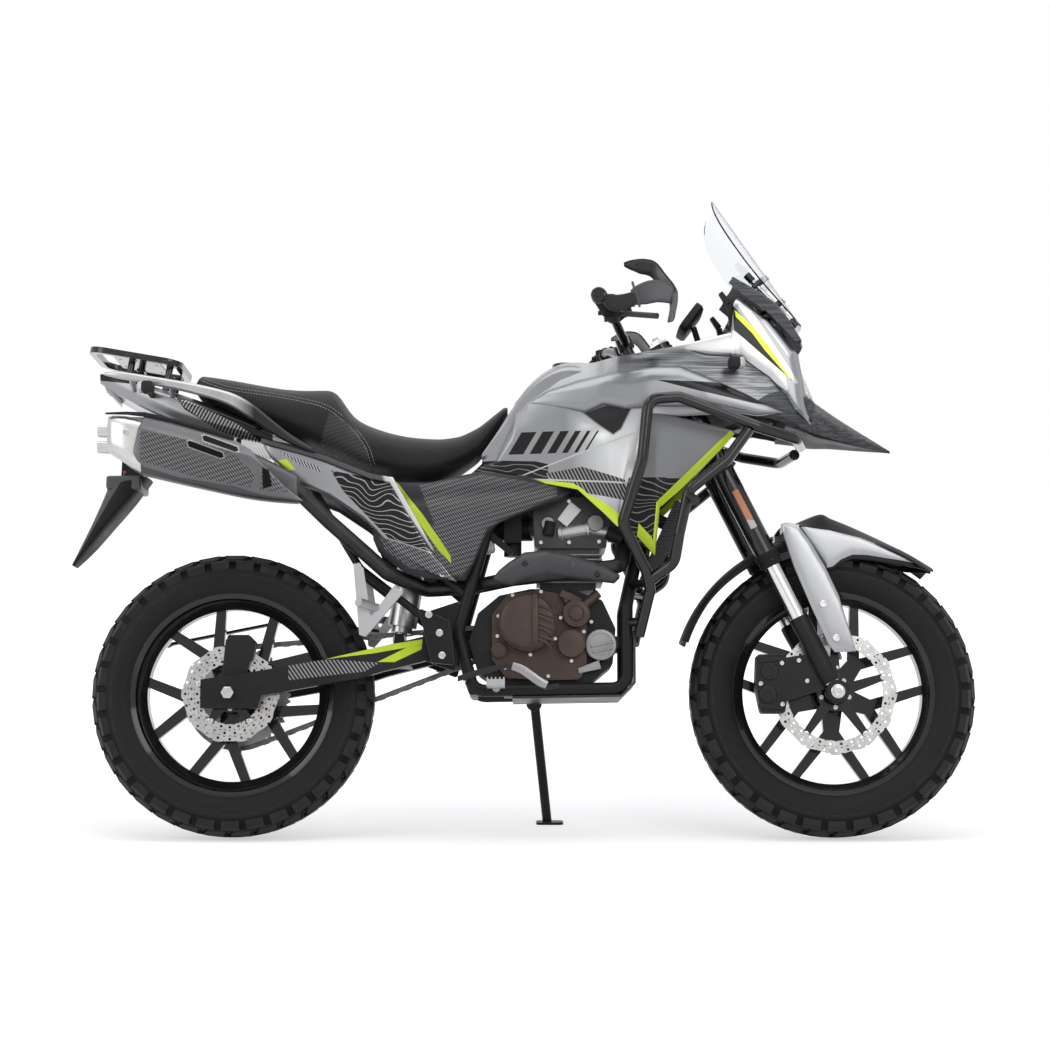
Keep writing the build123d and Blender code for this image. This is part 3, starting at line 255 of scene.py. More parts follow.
# ---- tyres ---------------------------------------------------------------------------------------
# Tubeless dual sport tyres, 17 inch, of carbon-black rubber. The carcass is moulded in one with its
# tread: two staggered centre rows and a shoulder row a side, with rings pressed into the side walls.
# Upright millimetres: the axle's x and z, the tread's radius, half the tyre's width, half its flat
# crown, and half the rim's width.
REAR_AXLE, FRONT_AXLE = (-654.0, 323.95), (705.996, 327.42)
WHEELS = {"rear": dict(axle=REAR_AXLE, radius=320.0, half=63.0, crown=30.0, rim=48.0),
          "front": dict(axle=FRONT_AXLE, radius=324.0, half=56.0, crown=26.0, rim=41.0)}
TREAD_PITCHES = 33


def turned(axle, y, r, angle):
    """Points at radius r and place y, turned by angle about an axle across the machine."""
    y, r, angle = np.broadcast_arrays(y, r, angle)
    return np.stack([axle[0] + r * np.cos(angle), y, axle[1] + r * np.sin(angle)], -1)


def quads(rows, columns, close_rows=False, close_columns=False, start=0):
    """The four-cornered faces of a grid, joined end to end either way if asked."""
    i = np.arange(rows if close_rows else rows - 1)[:, None]
    j = np.arange(columns if close_columns else columns - 1)[None, :]
    i2, j2 = (i + 1) % rows, (j + 1) % columns
    corners = [i * columns + j, i2 * columns + j, i2 * columns + j2, i * columns + j2]
    return np.stack([c + 0 * (i + j) for c in corners], -1).reshape(-1, 4) + start


def joined(parts):
    """Several (points, faces) as one: each part's faces count on from the points before it."""
    points, faces, start = [], [], 0
    for p, f in parts:
        p = np.asarray(p, float).reshape(-1, 3)
        points.append(p)
        faces += [[int(v) + start for v in face] for face in f]
        start += len(p)
    return np.concatenate(points), faces


def piece(name, part, material, body="root", sharp=35, bevel=0.0, stands_for=()):
    """One mesh from a part (points, faces) in upright millimetres, or from a list of parts. Faces point
    outwards, soft below the sharp angle, and edges are rounded by bevel millimetres. It rides on body
    and may stand for CAD nodes."""
    mesh = bpy.data.meshes.new(name)
    points, faces = joined(part) if isinstance(part, list) else part
    points = np.asarray(points, float).reshape(-1, 3)
    mesh.from_pydata(leaned(points).tolist(), [], [list(f) for f in faces])
    work = bmesh.new()
    work.from_mesh(mesh)
    bmesh.ops.remove_doubles(work, verts=work.verts, dist=1e-6)
    bmesh.ops.dissolve_degenerate(work, edges=work.edges, dist=1e-7)
    bmesh.ops.recalc_face_normals(work, faces=work.faces)
    work.to_mesh(mesh)
    work.free()
    mesh.polygons.foreach_set("use_smooth", np.ones(len(mesh.polygons), bool))
    mesh.set_sharp_from_angle(angle=math.radians(sharp))
    mesh.materials.append(material)
    made = bpy.data.objects.new(name, mesh)
    scene.collection.objects.link(made)
    if bevel:
        rounder = made.modifiers.new("rounded", 'BEVEL')
        rounder.width, rounder.segments, rounder.angle_limit = bevel / 1000, 2, math.radians(38)
        rounder.harden_normals = False
    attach(made, body)
    if stands_for:
        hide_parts(*stands_for)
    return made


def blocks(axle, profile, count, share, offset, skew):
    """Blocks round an axle: a (y, radius) outline swept over share of each pitch, slanted by skew
    radians per millimetre across."""
    y, r = np.array(profile, float).T
    middle = ((np.arange(count) + offset) * 2 * np.pi / count)[:, None, None]
    reach = (np.array([-1, 1]) * share * np.pi / count)[None, :, None]
    corners = turned(axle, y, r, middle + reach + skew * y).reshape(-1, 3)
    n = len(profile)
    ring = [[k, (k + 1) % n, (k + 1) % n + n, k + n] for k in range(n)]
    one = ring + [list(range(n))[::-1], list(range(n, 2 * n))]
    return corners, [[v + 2 * n * k for v in face] for k in range(count) for face in one]


def axle_distance(tree, place):
    """The distance from the nearer wheel's axle in the side view; one height does for both axles."""
    split = add(tree, "SeparateXYZ", None, i0=place)
    ahead = calc(tree, "GREATER_THAN", split.outputs[0], 0.0)
    centre_x = calc(tree, "MULTIPLY_ADD", ahead, FRONT_AXLE[0] - REAR_AXLE[0], REAR_AXLE[0])
    dx = calc(tree, "SUBTRACT", split.outputs[0], centre_x)
    dz = calc(tree, "SUBTRACT", split.outputs[2], 325.7)
    return calc(tree, "SQRT", calc(tree, "ADD", calc(tree, "POWER", dx, 2.0), calc(tree, "POWER", dz, 2.0)))


def tread_rib(tree, place):
    """Fine rings on the side wall: a sine of the distance from the axle, for both wheels."""
    radius = axle_distance(tree, place)
    ribs = calc(tree, "SINE", times(tree, radius, 2.1))
    low = spread(tree, radius, 246, 250)
    high = spread(tree, radius, 276, 272)
    return times(tree, times(tree, low, high), times(tree, ribs, 0.22))


def groove_painted_shade(tree, place, tone):
    """Painted shade: near black on the tread's floor, between the blocks."""
    return blend_colours(tree, spread(tree, axle_distance(tree, place), 278, 284), tone,
        (0.003, 0.003, 0.003))


# The carcass is painted near black on the tread's floor, as shade between the blocks.
tyre_rubber = finish("tyre_rubber", (0.017, 0.017, 0.018), 0.6, shade=0.25, lump=90, grain=0.9, height=0.10,
                     pattern=tread_rib, art_and_painted_light=groove_painted_shade)
# The blocks' paler edge colour is a painted highlight along their edges.
block_rubber = finish("block_rubber", (0.021, 0.021, 0.022), 0.48, shade=0.3, lump=24, height=0.08,
    edge_wear_and_highlight=(0.13, 0.13, 0.13))
for which, w in WHEELS.items():
    axle, R, half, crown, edge = w["axle"], w["radius"], w["half"], w["crown"], w["half"] - 1.0
    section = [(w["rim"] - 6.5, 221.5), (w["rim"] - 1.0, 231.0), (w["rim"] + 3.0, 236.0), (half - 3, 252.0),
        (half, 268.0), (half - 0.5, R - 44), (half - 4, R - 30), (half - 13, R - 18), (crown + 6, R - 12),
        (crown, R - 9), (0, R - 7.5)]
    side = np.array(section)
    profile = np.concatenate([side * (-1, 1), side[-2::-1]])
    around = np.linspace(0, 2 * np.pi, 132, endpoint=False)
    skin = turned(axle, profile[:, 0][None], profile[:, 1][None], around[:, None])
    carcass = (skin, quads(len(around), len(profile), True, True).tolist())
    parts = []

    def top(y):
        return R - 21 * max(0.0, abs(y) - crown) / (edge - crown)

    for s in (-1, 1):
        centre = [(s * 1.5, R - 11), (s * 1.5, top(0)), (s * crown * 0.93, top(crown)),
            (s * crown * 0.93, R - 12)]
        middle_row = [(s * (crown + 3), R - 14), (s * (crown + 3), top(crown + 3)),
            (s * (edge - 14), top(edge - 14) + 1), (s * (edge - 14), R - 20)]
        shoulder = [(s * (edge - 11), R - 26), (s * (edge - 11), top(edge - 11)), (s * edge, top(edge)),
                    (s * (edge - 0.6), R - 33), (s * (edge - 3), R - 42)]
        parts.append(blocks(axle, centre, TREAD_PITCHES, 0.74, 0.25 * s, s * 0.0035))
        parts.append(blocks(axle, middle_row, TREAD_PITCHES, 0.70, 0.25 * s, s * 0.002))
        parts.append(blocks(axle, shoulder, TREAD_PITCHES, 0.72, 0.25 * s + 0.03, 0.0))
        nub = [(s * (half - 4.5), R - 50), (s * (half + 0.3), R - 50), (s * (half + 0.3), R - 46),
            (s * (half - 4.5), R - 46)]
        parts.append(blocks(axle, nub, TREAD_PITCHES, 0.8, 0.25 * s, 0.0))
    piece(which + "_tyre_carcass", carcass, tyre_rubber, which + "_wheel", sharp=50,
          stands_for=[which + "_tyre"])
    piece(which + "_tyre_blocks", parts, block_rubber, which + "_wheel", sharp=30, bevel=0.9)

# ---- cast rims, hubs and discs -------------------------------------------------------------------
# Five-armed aluminium castings in gloss black, each arm forked to the rim. The stainless discs are
# laser cut with a scalloped edge, drilled, and carried by a black spider bolted to the hub.
gloss_black = finish("gloss_black", (0.010, 0.010, 0.011), 0.2, coat=0.5, shade=0.2, grain=2.0, height=0.03,
    round_edge=2.6)
dress(gloss_black, "rear_rim", "front_rim")


def drilled_ring(axle, place, thick, inner, outer, wave, waves, rows, count, hole):
    """A flat ring cut into cells, each with a round hole: a cell's mesh runs from its hole's edge to
    its own border. The outside edge rises and falls by wave, waves times round."""
    t = np.linspace(0, 2 * np.pi, 16, endpoint=False) + np.pi / 16
    square = np.stack([np.cos(t), np.sin(t)], -1)
    square = square / np.abs(square).max(1, keepdims=True)
    k = np.arange(count)[:, None, None]
    parts = []
    edges = np.linspace(inner, outer, rows + 1)
    for row in range(rows):
        middle = (edges[row] + edges[row + 1]) / 2
        step = 2 * np.pi / count
        a0 = (k + 0.5 * (row % 2)) * step
        shares = np.array([0.0, 0.35, 1.0])[None, :, None]
        round_r = middle + hole * np.sin(t)
        round_a = hole * np.cos(t) / middle
        cell_r = middle + square[:, 1] * (edges[row + 1] - edges[row]) / 2
        cell_a = square[:, 0] * step / 2
        r = round_r * (1 - shares) + cell_r * shares
        a = a0 + round_a * (1 - shares) + cell_a * shares
        r = r + (r > outer - 0.5) * wave * np.cos(waves * a)
        r = np.broadcast_to(r, a.shape)
        for y, turn in ((place - thick / 2, 1), (place + thick / 2, -1)):
            p = turned(axle, np.full(a.shape, y), r, a)
            faces = np.concatenate([quads(3, 16, False, True, start=48 * c) for c in range(count)])
            parts.append((p, faces[:, ::turn]))
        lip = np.stack([turned(axle, np.full(a[:, 0].shape, y), r[:, 0], a[:, 0])
            for y in (place - thick / 2, place + thick / 2)], 1)
        parts.append((lip, np.concatenate([quads(2, 16, False, True, start=32 * c) for c in range(count)])))
    a = np.linspace(0, 2 * np.pi, count * 16, endpoint=False)
    for radius, w in ((inner, 0), (outer, wave)):
        rim_line = np.stack([turned(axle, y, radius + w * np.cos(waves * a), a)
            for y in (place - thick / 2, place + thick / 2)])
        parts.append((rim_line, quads(2, len(a), False, True)))
    return joined(parts)


def brushed(tree, place):
    """Fine turning marks: noise drawn out along rings."""
    return times(tree, noise(tree, place, 0.6, 2.0), 0.03)


disc_steel = finish("disc_steel", (0.46, 0.45, 0.44), 0.28, metal=1.0, shade=0.1, lump=25, grain=0.5,
    height=0.02, pattern=brushed)


def bar_between(a, b, half_a, half_b, low, high):
    """A tapered bar in the side view from a to b, from place low to high across: eight corners."""
    a, b = np.array(a, float), np.array(b, float)
    along = (b - a) / np.linalg.norm(b - a)
    across = np.array([-along[1], along[0]])
    flat = [a + across * half_a, b + across * half_b, b - across * half_b, a - across * half_a]
    points = [(x, y, z) for y in (low, high) for x, z in flat]
    return points, [(0, 1, 2, 3), (7, 6, 5, 4), (0, 4, 5, 1), (1, 5, 6, 2), (2, 6, 7, 3), (3, 7, 4, 0)]


def circle_about(axis, hint, sides):
    """A ring of points of radius 1 square to axis, begun square to hint as well."""
    side = np.cross(axis, hint)
    side = side / np.linalg.norm(side)
    t = np.linspace(0, 2 * np.pi, sides, endpoint=False)[:, None]
    return np.cos(t) * side + np.sin(t) * np.cross(axis, side)


def off_axis(along):
    """A direction well away from the given one: up, or forward for what stands upright."""
    return (0, 0, 1) if abs(along[2]) < 0.9 else (1, 0, 0)


def round_bar(start, end, radius, sides=24, radius_end=None):
    """A round bar from start to end with flat ends: a ring of points square to it at each end."""
    start, end = np.array(start, float), np.array(end, float)
    along = (end - start) / np.linalg.norm(end - start)
    ring = circle_about(along, off_axis(along), sides)
    last = radius if radius_end is None else radius_end
    faces = quads(2, sides, False, True).tolist() + [list(range(sides))[::-1], list(range(sides, 2 * sides))]
    return np.concatenate([start + ring * radius, end + ring * last]), faces


def screw(place, axis, radius, height):
    """A socket screw's head: a round head with a six-sided hollow, set on place along axis."""
    place, axis = np.array(place, float), np.array(axis, float) / np.linalg.norm(axis)
    ring = circle_about(axis, (0.3, 0.2, 0.9), 18)
    rows = [(radius, -1), (radius, height * 0.8), (radius * 0.86, height), (radius * 0.52, height),
            (radius * 0.52, height * 0.35)]
    points = np.concatenate([place + ring * r + axis * h for r, h in rows])
    faces = quads(5, 18, False, True).tolist() + [list(range(18))[::-1], list(range(72, 90))]
    return points, faces


def side_screws(y, places, radius, height):
    """Socket screws that point to the right, at the given (x, z)."""
    return [screw((x, y, z), (0, -1, 0), radius, height) for x, z in places]


bright_steel = finish("bright_steel", (0.5, 0.5, 0.49), 0.25, metal=1.0, shade=0.1, lump=8, grain=0.4,
    height=0.02)
# wheel, outer and inner radius, middle across, scallops, rows of holes, holes in a row
for which, r_out, r_in, place, scallops, rows, holes in (("rear", 108, 68, -76, 10, 3, 24),
                                                         ("front", 137.5, 108, -67, 12, 2, 30)):
    axle = WHEELS[which]["axle"]
    ring = drilled_ring(axle, place, 4.5, r_in, r_out, 2.4, scallops, rows, holes, 3.1)
    screw_heads = []
    piece(which + "_disc_ring", ring, disc_steel, which + "_wheel", sharp=30, stands_for=[which + "_disc"])
    spider = []
    for k in range(5):
        angle = math.radians(18 + 72 * k)
        near = (axle[0] + 27 * math.cos(angle), axle[1] + 27 * math.sin(angle))
        far = (axle[0] + (r_in + 6) * math.cos(angle), axle[1] + (r_in + 6) * math.sin(angle))
        spider.append(bar_between(near, far, 13, 8, place - 3, place + 2.9))
        screw_heads.append(screw((far[0], place - 3, far[1]), (0, -1, 0), 6.5, 3))
        bolt = (axle[0] + 33 * math.cos(angle + 0.63), place - 3.4, axle[1] + 33 * math.sin(angle + 0.63))
        screw_heads.append(screw(bolt, (0, -1, 0), 5.5, 4))
    depths, radii = np.array([-3.4, 3.0])[:, None, None] + place, np.array([27.0, 42.0])[None, :, None]
    collar = turned(axle, depths, radii, np.linspace(0, 2 * np.pi, 60, endpoint=False)[None, None])
    faces = [quads(2, 60, False, True), quads(2, 60, False, True, start=120)]
    for k in (0, 60):
        here = np.arange(60)
        after = (here + 1) % 60
        faces.append(np.stack([here, after, after + 120, here + 120], -1) + k)
    spider.append((collar.reshape(-1, 3), np.concatenate(faces)))
    piece(which + "_disc_spider", spider, gloss_black, which + "_wheel", bevel=1.0)
    piece(which + "_disc_bolts", screw_heads, bright_steel, which + "_wheel")

# ---- fuel tank -----------------------------------------------------------------------------------
# Pressed steel tank over the frame's spine, in silver metallic lacquer over fine aluminium flake, with
# a flush filler cap. It drops to the seat behind, and the side bodywork hides its flanks in front.
def through(points, count):
    """count rows along the smooth curve through the given rows: Catmull-Rom cubics between them."""
    p = np.asarray(points, float)
    ends = np.concatenate([2 * p[:1] - p[1:2], p, 2 * p[-1:] - p[-2:-1]])
    at = np.linspace(0, len(p) - 1 - 1e-9, count)
    k = at.astype(int)
    t = (at - k).reshape((-1,) + (1,) * (p.ndim - 1))
    a, b, c, d = ends[k], ends[k + 1], ends[k + 2], ends[k + 3]
    return 0.5 * (2 * b + (c - a) * t + (2 * a - 5 * b + 4 * c - d) * t ** 2 + (3 * b - 3 * c + d - a)
        * t ** 3)


def capped(grid):
    """A tube of rows of points, closed round each row and by a fan at both ends."""
    rows, columns = grid.shape[:2]
    points = np.concatenate([grid.reshape(-1, 3), grid[0].mean(0)[None], grid[-1].mean(0)[None]])
    n = rows * columns
    faces = quads(rows, columns, False, True).tolist()
    faces += [[(k + 1) % columns, k, n] for k in range(columns)]
    faces += [[n - columns + k, n - columns + (k + 1) % columns, n + 1] for k in range(columns)]
    return points, faces


def within(tree, place, corners, soft=0.35):
    """1 inside a side-view outline with no hollow, 0 outside: the least of its edges' distances, faded
    over soft millimetres either way. A hollow outline is given as several that meet."""
    flat = add(tree, "VectorMath", {"operation": 'MULTIPLY'}, i0=place, i1=(1, 0, 1)).outputs[0]
    turn = sum(x0 * z1 - x1 * z0 for (x0, z0), (x1, z1) in zip(corners, corners[1:] + corners[:1]))
    least = None
    for (x0, z0), (x1, z1) in zip(corners, corners[1:] + corners[:1]):
        length = math.hypot(x1 - x0, z1 - z0) * (1 if turn > 0 else -1)
        nx, nz = -(z1 - z0) / length, (x1 - x0) / length
        dot = add(tree, "VectorMath", {"operation": 'DOT_PRODUCT'}, i0=flat, i1=(nx, 0, nz)).outputs["Value"]
        away = calc(tree, "SUBTRACT", dot, nx * x0 + nz * z0)
        least = away if least is None else calc(tree, "MINIMUM", least, away)
    return spread(tree, least, -soft, soft)


def either(tree, *shares):
    """The largest of several shares."""
    most = shares[0]
    for share in shares[1:]:
        most = calc(tree, "MAXIMUM", most, share)
    return most


def inside(tree, place, tone, colour, *outlines, soft=0.35):
    """tone, with colour inside any of the side-view outlines; soft is half their edge's width."""
    shares = [within(tree, place, corners, soft) for corners in outlines]
    return blend_colours(tree, either(tree, *shares), tone, colour)


def flakes(tree, place):
    """Aluminium flake: tiny cells that each lie a little differently."""
    return times(tree, add(tree, "TexVoronoi", None, Vector=place, Scale=1.6).outputs[0], 0.006)


SILVER = (0.27, 0.275, 0.285)
LACQUER = dict(rough=0.32, metal=0.65, coat=0.25, shade=0.05, lump=150, grain=0.3, height=0.004,
    pattern=flakes)
silver = finish("silver", SILVER, **LACQUER)
tank_rows = []
# x, half widths at the crown, middle and foot, then heights from the crown down
for x, top, mid, low, z3, z2, z1, z0 in ((-90, 60, 84, 78, 866, 861, 856, 850),
        (-58, 62, 92, 86, 918, 900, 864, 850), (-24, 66, 104, 96, 974, 944, 876, 850),
        (8, 70, 110, 102, 1022, 980, 880, 846), (46, 78, 118, 110, 1058, 1008, 880, 840),
        (90, 84, 122, 116, 1081, 1024, 880, 836), (135, 82, 121, 118, 1085, 1022, 880, 828),
        (180, 76, 116, 120, 1080, 1012, 880, 820), (221, 62, 108, 120, 1072, 998, 880, 813)):
    half = [(0, z3 + 5), (top * 0.55, z3 + 3), (top, z3 - 8), (mid * 0.97, (z3 + z2) / 2 + 6), (mid, z2),
            (low, z1), (low * 0.94, z0), (40, z0 - 2)]
    round_half = through(half, 30)
    ring = np.concatenate([round_half, round_half[::-1] * (-1, 1)])
    tank_rows.append(np.concatenate([np.full((60, 1), x), ring], 1))
tank = capped(through(tank_rows, 60))
piece("tank_shell", tank, silver, sharp=50, stands_for=["fuel_tank"])
cap_rings = [(0, 1084), (20, 1088), (33, 1088), (36, 1086), (36.5, 1080), (38, 1079), (38, 1070)]
t = np.linspace(0, 2 * np.pi, 40, endpoint=False)[None]
cap_r, cap_z = np.array(cap_rings, float).T[:, :, None]
cap = np.stack([108 + (cap_r + 0.001) * np.cos(t) - 0.05 * (cap_z - 1074), (cap_r + 0.001) * np.sin(t),
    cap_z + 0 * t + 3 - 0.05 * cap_r * np.cos(t)], -1)
piece("filler_cap", capped(cap[::-1]), gloss_black, bevel=0.6)

# ---- side bodywork -------------------------------------------------------------------------------
# Injection-moulded panels each side of the tank and radiator, lacquered silver above and left grained
# dark grey below. A wing stands out over the crash bar, and a black tongue runs down to a lime V.
def shell(outer, inner):
    """A thin closed shell between two grids of points: both faces, then a wall along each border."""
    n, m = outer.shape[:2]
    i, j = np.arange(n - 1), np.arange(m - 1)
    borders = ((i * m, (i + 1) * m), (i * m + m - 1, (i + 1) * m + m - 1), (j, j + 1),
               ((n - 1) * m + j, (n - 1) * m + j + 1))
    walls = [np.stack([a, b, b + n * m, a + n * m], -1) for a, b in borders]
    points = np.concatenate([outer.reshape(-1, 3), inner.reshape(-1, 3)])
    return points, np.concatenate([quads(n, m), quads(n, m, start=n * m)[:, ::-1], *walls]).tolist()


def panel(upper, lower, side, crown=4.0, roll=4.0, thick=3.0, columns=36, rows=18, top_roll=0.0):
    """A moulded panel on the right: at each x, rows from the lower outline to the upper. It stands out
    by side(x, z) plus a crown, (1-|2v-1|^3)(1-|2u-1|^4), and turns in at its borders by roll."""
    upper, lower = np.array(upper, float), np.array(lower, float)
    x0, x1 = upper[0, 0], upper[-1, 0]
    xs = np.unique(np.concatenate([upper[:, 0], lower[:, 0], np.linspace(x0, x1, columns)]).clip(x0, x1))
    v = np.linspace(0, 1, rows)[None]
    low, high = np.interp(xs, *lower.T)[:, None], np.interp(xs, *upper.T)[:, None]
    high = np.maximum(high, low + 0.4)
    x, z = xs[:, None] + 0 * v, low + (high - low) * v
    u = (x - x0) / (x1 - x0)
    vv, uu = np.abs(2 * v - 1), np.abs(2 * u - 1)
    out = side(x, z) + crown * (1 - vv ** 3) * (1 - uu ** 4) - roll * vv ** 12 - roll * uu ** 24
    out = out - (top_roll(x) if callable(top_roll) else top_roll) * np.clip((v - 0.55) / 0.45, 0, 1) ** 2
    grid = np.stack([x, -out, z], -1)
    return shell(grid, grid + np.array([0, thick, 0]))


def standing(places, reaches):
    """How far out a panel stands: reaches at places along the machine, straight between them."""
    return lambda x, z: np.interp(x, places, reaches)


def pair(part):
    """The same on both sides: y changes sign, and the faces turn round."""
    points, faces = np.asarray(part[0], float), part[1]
    return joined([(points, faces), (points * (1, -1, 1), [list(f)[::-1] for f in faces])])


def ripple(tree, value, pitch):
    """A sine of value that repeats every pitch."""
    return calc(tree, "SINE", times(tree, value, 2 * math.pi / pitch))


def weave(tree, place, tone, pale, pitch=2.6):
    """Moulded-in fabric look: short slanting ribs in two directions, dark and pale by turns."""
    split = add(tree, "SeparateXYZ", None, i0=place)
    x, z = split.outputs[0], split.outputs[2]
    down = calc(tree, "ADD", times(tree, x, 0.8), times(tree, z, 0.6))
    up = calc(tree, "SUBTRACT", times(tree, x, 0.3), times(tree, z, 0.95))
    rib = ripple(tree, down, pitch)
    cross = ripple(tree, up, pitch * 2.2)
    share = spread(tree, calc(tree, "ADD", rib, times(tree, cross, 0.45)), -0.3, 0.9)
    return blend_colours(tree, share, tone, pale)


def waves(tree, place, tone, line, pitch=15.0):
    """Thin wavy contour lines: a band near the top of a sine of height bent by slow noise."""
    split = add(tree, "SeparateXYZ", None, i0=place)
    bend = times(tree, noise(tree, place, 90.0, 1.0), 90.0)
    slope = times(tree, split.outputs[0], 0.28)
    height = calc(tree, "ADD", calc(tree, "ADD", split.outputs[2], bend), slope)
    rib = ripple(tree, height, pitch)
    return blend_colours(tree, spread(tree, rib, 0.86, 0.93), tone, line)


def hatch(tree, place, tone, line, pitch=8.0, slant=0.5):
    """Slanting bars: half of each pitch is line-coloured."""
    split = add(tree, "SeparateXYZ", None, i0=place)
    along = calc(tree, "ADD", split.outputs[0], times(tree, split.outputs[2], slant))
    rib = ripple(tree, along, pitch)
    return blend_colours(tree, spread(tree, rib, -0.1, 0.1), tone, line)


BLACK, LIME, WHITE = (0.012, 0.012, 0.013), (0.52, 0.66, 0.045), (0.62, 0.62, 0.62)
PALE_SILVER = (0.30, 0.305, 0.315)
# Dark ground and pale streaks for the upper faces of the side bodywork and wings: a brushed look, darkened as
# painted shade where the faces turn upward.
SHADED_TOP_DARK, SHADED_TOP_PALE = (0.07, 0.072, 0.077), (0.21, 0.215, 0.225)
RIB_DARK, RIB_PALE, RIB_PITCH = (0.016, 0.0165, 0.018), (0.26, 0.262, 0.27), 4.6


def streaks(tree, place, tone, pale, pitch=3.2):
    """Long thin lines that run fore and aft, as on brushed foil."""
    drawn = add(tree, "VectorMath", {"operation": 'MULTIPLY'}, i0=place, i1=(0.02, 0.3, 1.0)).outputs[0]
    lines = add(tree, "TexNoise", None, Vector=drawn, Scale=1.0 / pitch, Detail=2.0, Roughness=0.6).outputs[0]
    return blend_colours(tree, spread(tree, lines, 0.42, 0.62), tone, pale)


def shroud_art_and_shade(tree, place, tone):
    """Brushed upper face darkened as painted shade, white low in front, a painted shadow in the recess
    behind the wing, slanting black bars, a black band with wavy lines and a hatch below them, thin pale
    lines, and a lime stripe that widens forward."""
    # Painted shade: the upper face is darker, with brushed streaks.
    brushed = streaks(tree, place, SHADED_TOP_DARK, SHADED_TOP_PALE)
    tone = inside(tree, place, tone, brushed, [(170, 1110), (640, 1130), (640, 960), (300, 1035)], soft=22)
    tone = inside(tree, place, tone, (0.62, 0.625, 0.63),
        [(168, 740), (140, 930), (285, 960), (285, 740)], soft=42)
    # Painted shadow: near black in the recess behind the wing.
    tone = inside(tree, place, tone, (0.02, 0.02, 0.021),
        [(138, 953), (190, 969), (248, 962), (224, 914), (206, 901)], soft=2.5)
    low, high, slant = 862, 912, 30
    for back, wide in ((-30, 34), (18, 26), (58, 19), (91, 13), (118, 8), (140, 4.5)):
        bar = [(back, low), (back + slant, high), (back + slant + wide, high), (back + wide, low)]
        tone = inside(tree, place, tone, BLACK, bar)
    dark = waves(tree, place, BLACK, (0.2, 0.2, 0.2))
    tone = inside(tree, place, tone, dark,
        [(-122, 853), (33, 845), (33, 780), (-122, 786)],
        [(32, 845), (60, 838), (60, 780), (32, 780)])
    bars = hatch(tree, place, BLACK, (0.24, 0.24, 0.24))
    tone = inside(tree, place, tone, bars,
        [(20, 812), (60, 838), (110, 838), (232, 798), (250, 700), (215, 690), (100, 780), (-20, 806)])
    tone = inside(tree, place, tone, (0.5, 0.5, 0.5),
        [(-20, 805), (-16, 809), (254, 906), (254, 902)],
        [(-20, 807), (-20, 810), (232, 793), (232, 789)])
    return inside(tree, place, tone, LIME,
        [(-95, 814), (-95, 816), (-19, 809), (44, 803), (42, 796), (-19, 805)],
        [(42, 796), (43, 803), (115, 794), (126, 778)],
        [(115, 794), (134, 783), (152, 766), (181, 728), (126, 778)],
        [(152, 767), (190, 745), (218, 722), (181, 727)],
        [(181, 729), (218, 722), (226, 683)])


shroud_paint = finish("shroud_paint", SILVER, art_and_painted_light=shroud_art_and_shade, **LACQUER)
shroud_upper = [(-118, 822), (-90, 850), (-62, 853), (-23, 954), (-15, 988), (14, 1022), (50, 1050),
    (86, 1072), (168, 1074), (265, 1090), (361, 1107), (420, 1090), (495, 1086), (560, 1042), (604, 990)]
shroud_lower = [(-118, 818), (-92, 812), (-62, 810), (-20, 804), (42, 798), (126, 780), (181, 728),
    (214, 694), (222, 694), (240, 780), (256, 805), (288, 940), (447, 950), (560, 956), (604, 980)]


def shroud_side(x, z):
    """Close to the tank behind, out to the wing in front, and in again towards the nose."""
    reach = np.interp(x, [-118, -62, 0, 90, 190, 300, 400, 500, 604],
        [98, 106, 116, 134, 154, 158, 151, 147, 138])
    hollow = 15 * np.exp(-((x - 178) / 52.0) ** 2 - ((z - 925) / 34.0) ** 2)
    return reach - hollow


shroud = panel(shroud_upper, shroud_lower, shroud_side, crown=8, columns=90, rows=40,
               top_roll=lambda x: np.interp(x, [-62, 150, 215, 604], [34, 34, 3, 0]))
piece("side_bodywork", pair(shroud), shroud_paint, sharp=40, bevel=1.2, stands_for=["tank_shrouds"])


def wing_art_and_shade(tree, place, tone):
    """Brushed top darkened as painted shade, and a black flash that narrows forward on the wing's face."""
    # Painted shade: the wing's top is darker, with brushed streaks.
    brushed = streaks(tree, place, SHADED_TOP_DARK, SHADED_TOP_PALE)
    tone = inside(tree, place, tone, brushed,
        [(150, 1080), (640, 1080), (640, 975), (450, 1024), (170, 1022)], soft=9)
    return inside(tree, place, tone, BLACK, [(301, 1021), (450, 1016), (565, 966), (516, 971), (399, 996)])


wing_paint = finish("wing_paint", SILVER, art_and_painted_light=wing_art_and_shade, **LACQUER)
wing_upper = [(15, 984), (60, 1012), (126, 1030), (200, 1044), (300, 1058), (356, 1060), (420, 1034),
              (500, 1000), (586, 955)]
wing_lower = [(15, 980), (80, 966), (142, 953), (186, 969), (234, 958), (300, 963), (400, 963), (530, 944),
              (586, 951)]
wing = panel(wing_upper, wing_lower, standing([15, 90, 180, 280, 420, 586], [118, 142, 168, 179, 178, 160]),
             crown=7, roll=6, thick=7, columns=60, rows=22, top_roll=16)
piece("bodywork_wings", pair(wing), wing_paint, sharp=40, bevel=1.2)


def lower_art(tree, place, tone):
    """Bare grey shield above, black with wavy lines below it, and a lime V along the front edge."""
    dark = waves(tree, place, BLACK, (0.22, 0.22, 0.22), 13.0)
    tone = inside(tree, place, tone, dark, [(200, 803), (430, 803), (320, 600), (200, 600)])
    return inside(tree, place, tone, LIME,
        [(470, 912), (482, 902), (473, 893), (317, 738), (303, 744), (306, 752)],
        [(302, 748), (313, 748), (300, 626), (291, 642)],
        [(299, 626), (291, 668), (262, 700), (258, 672)])


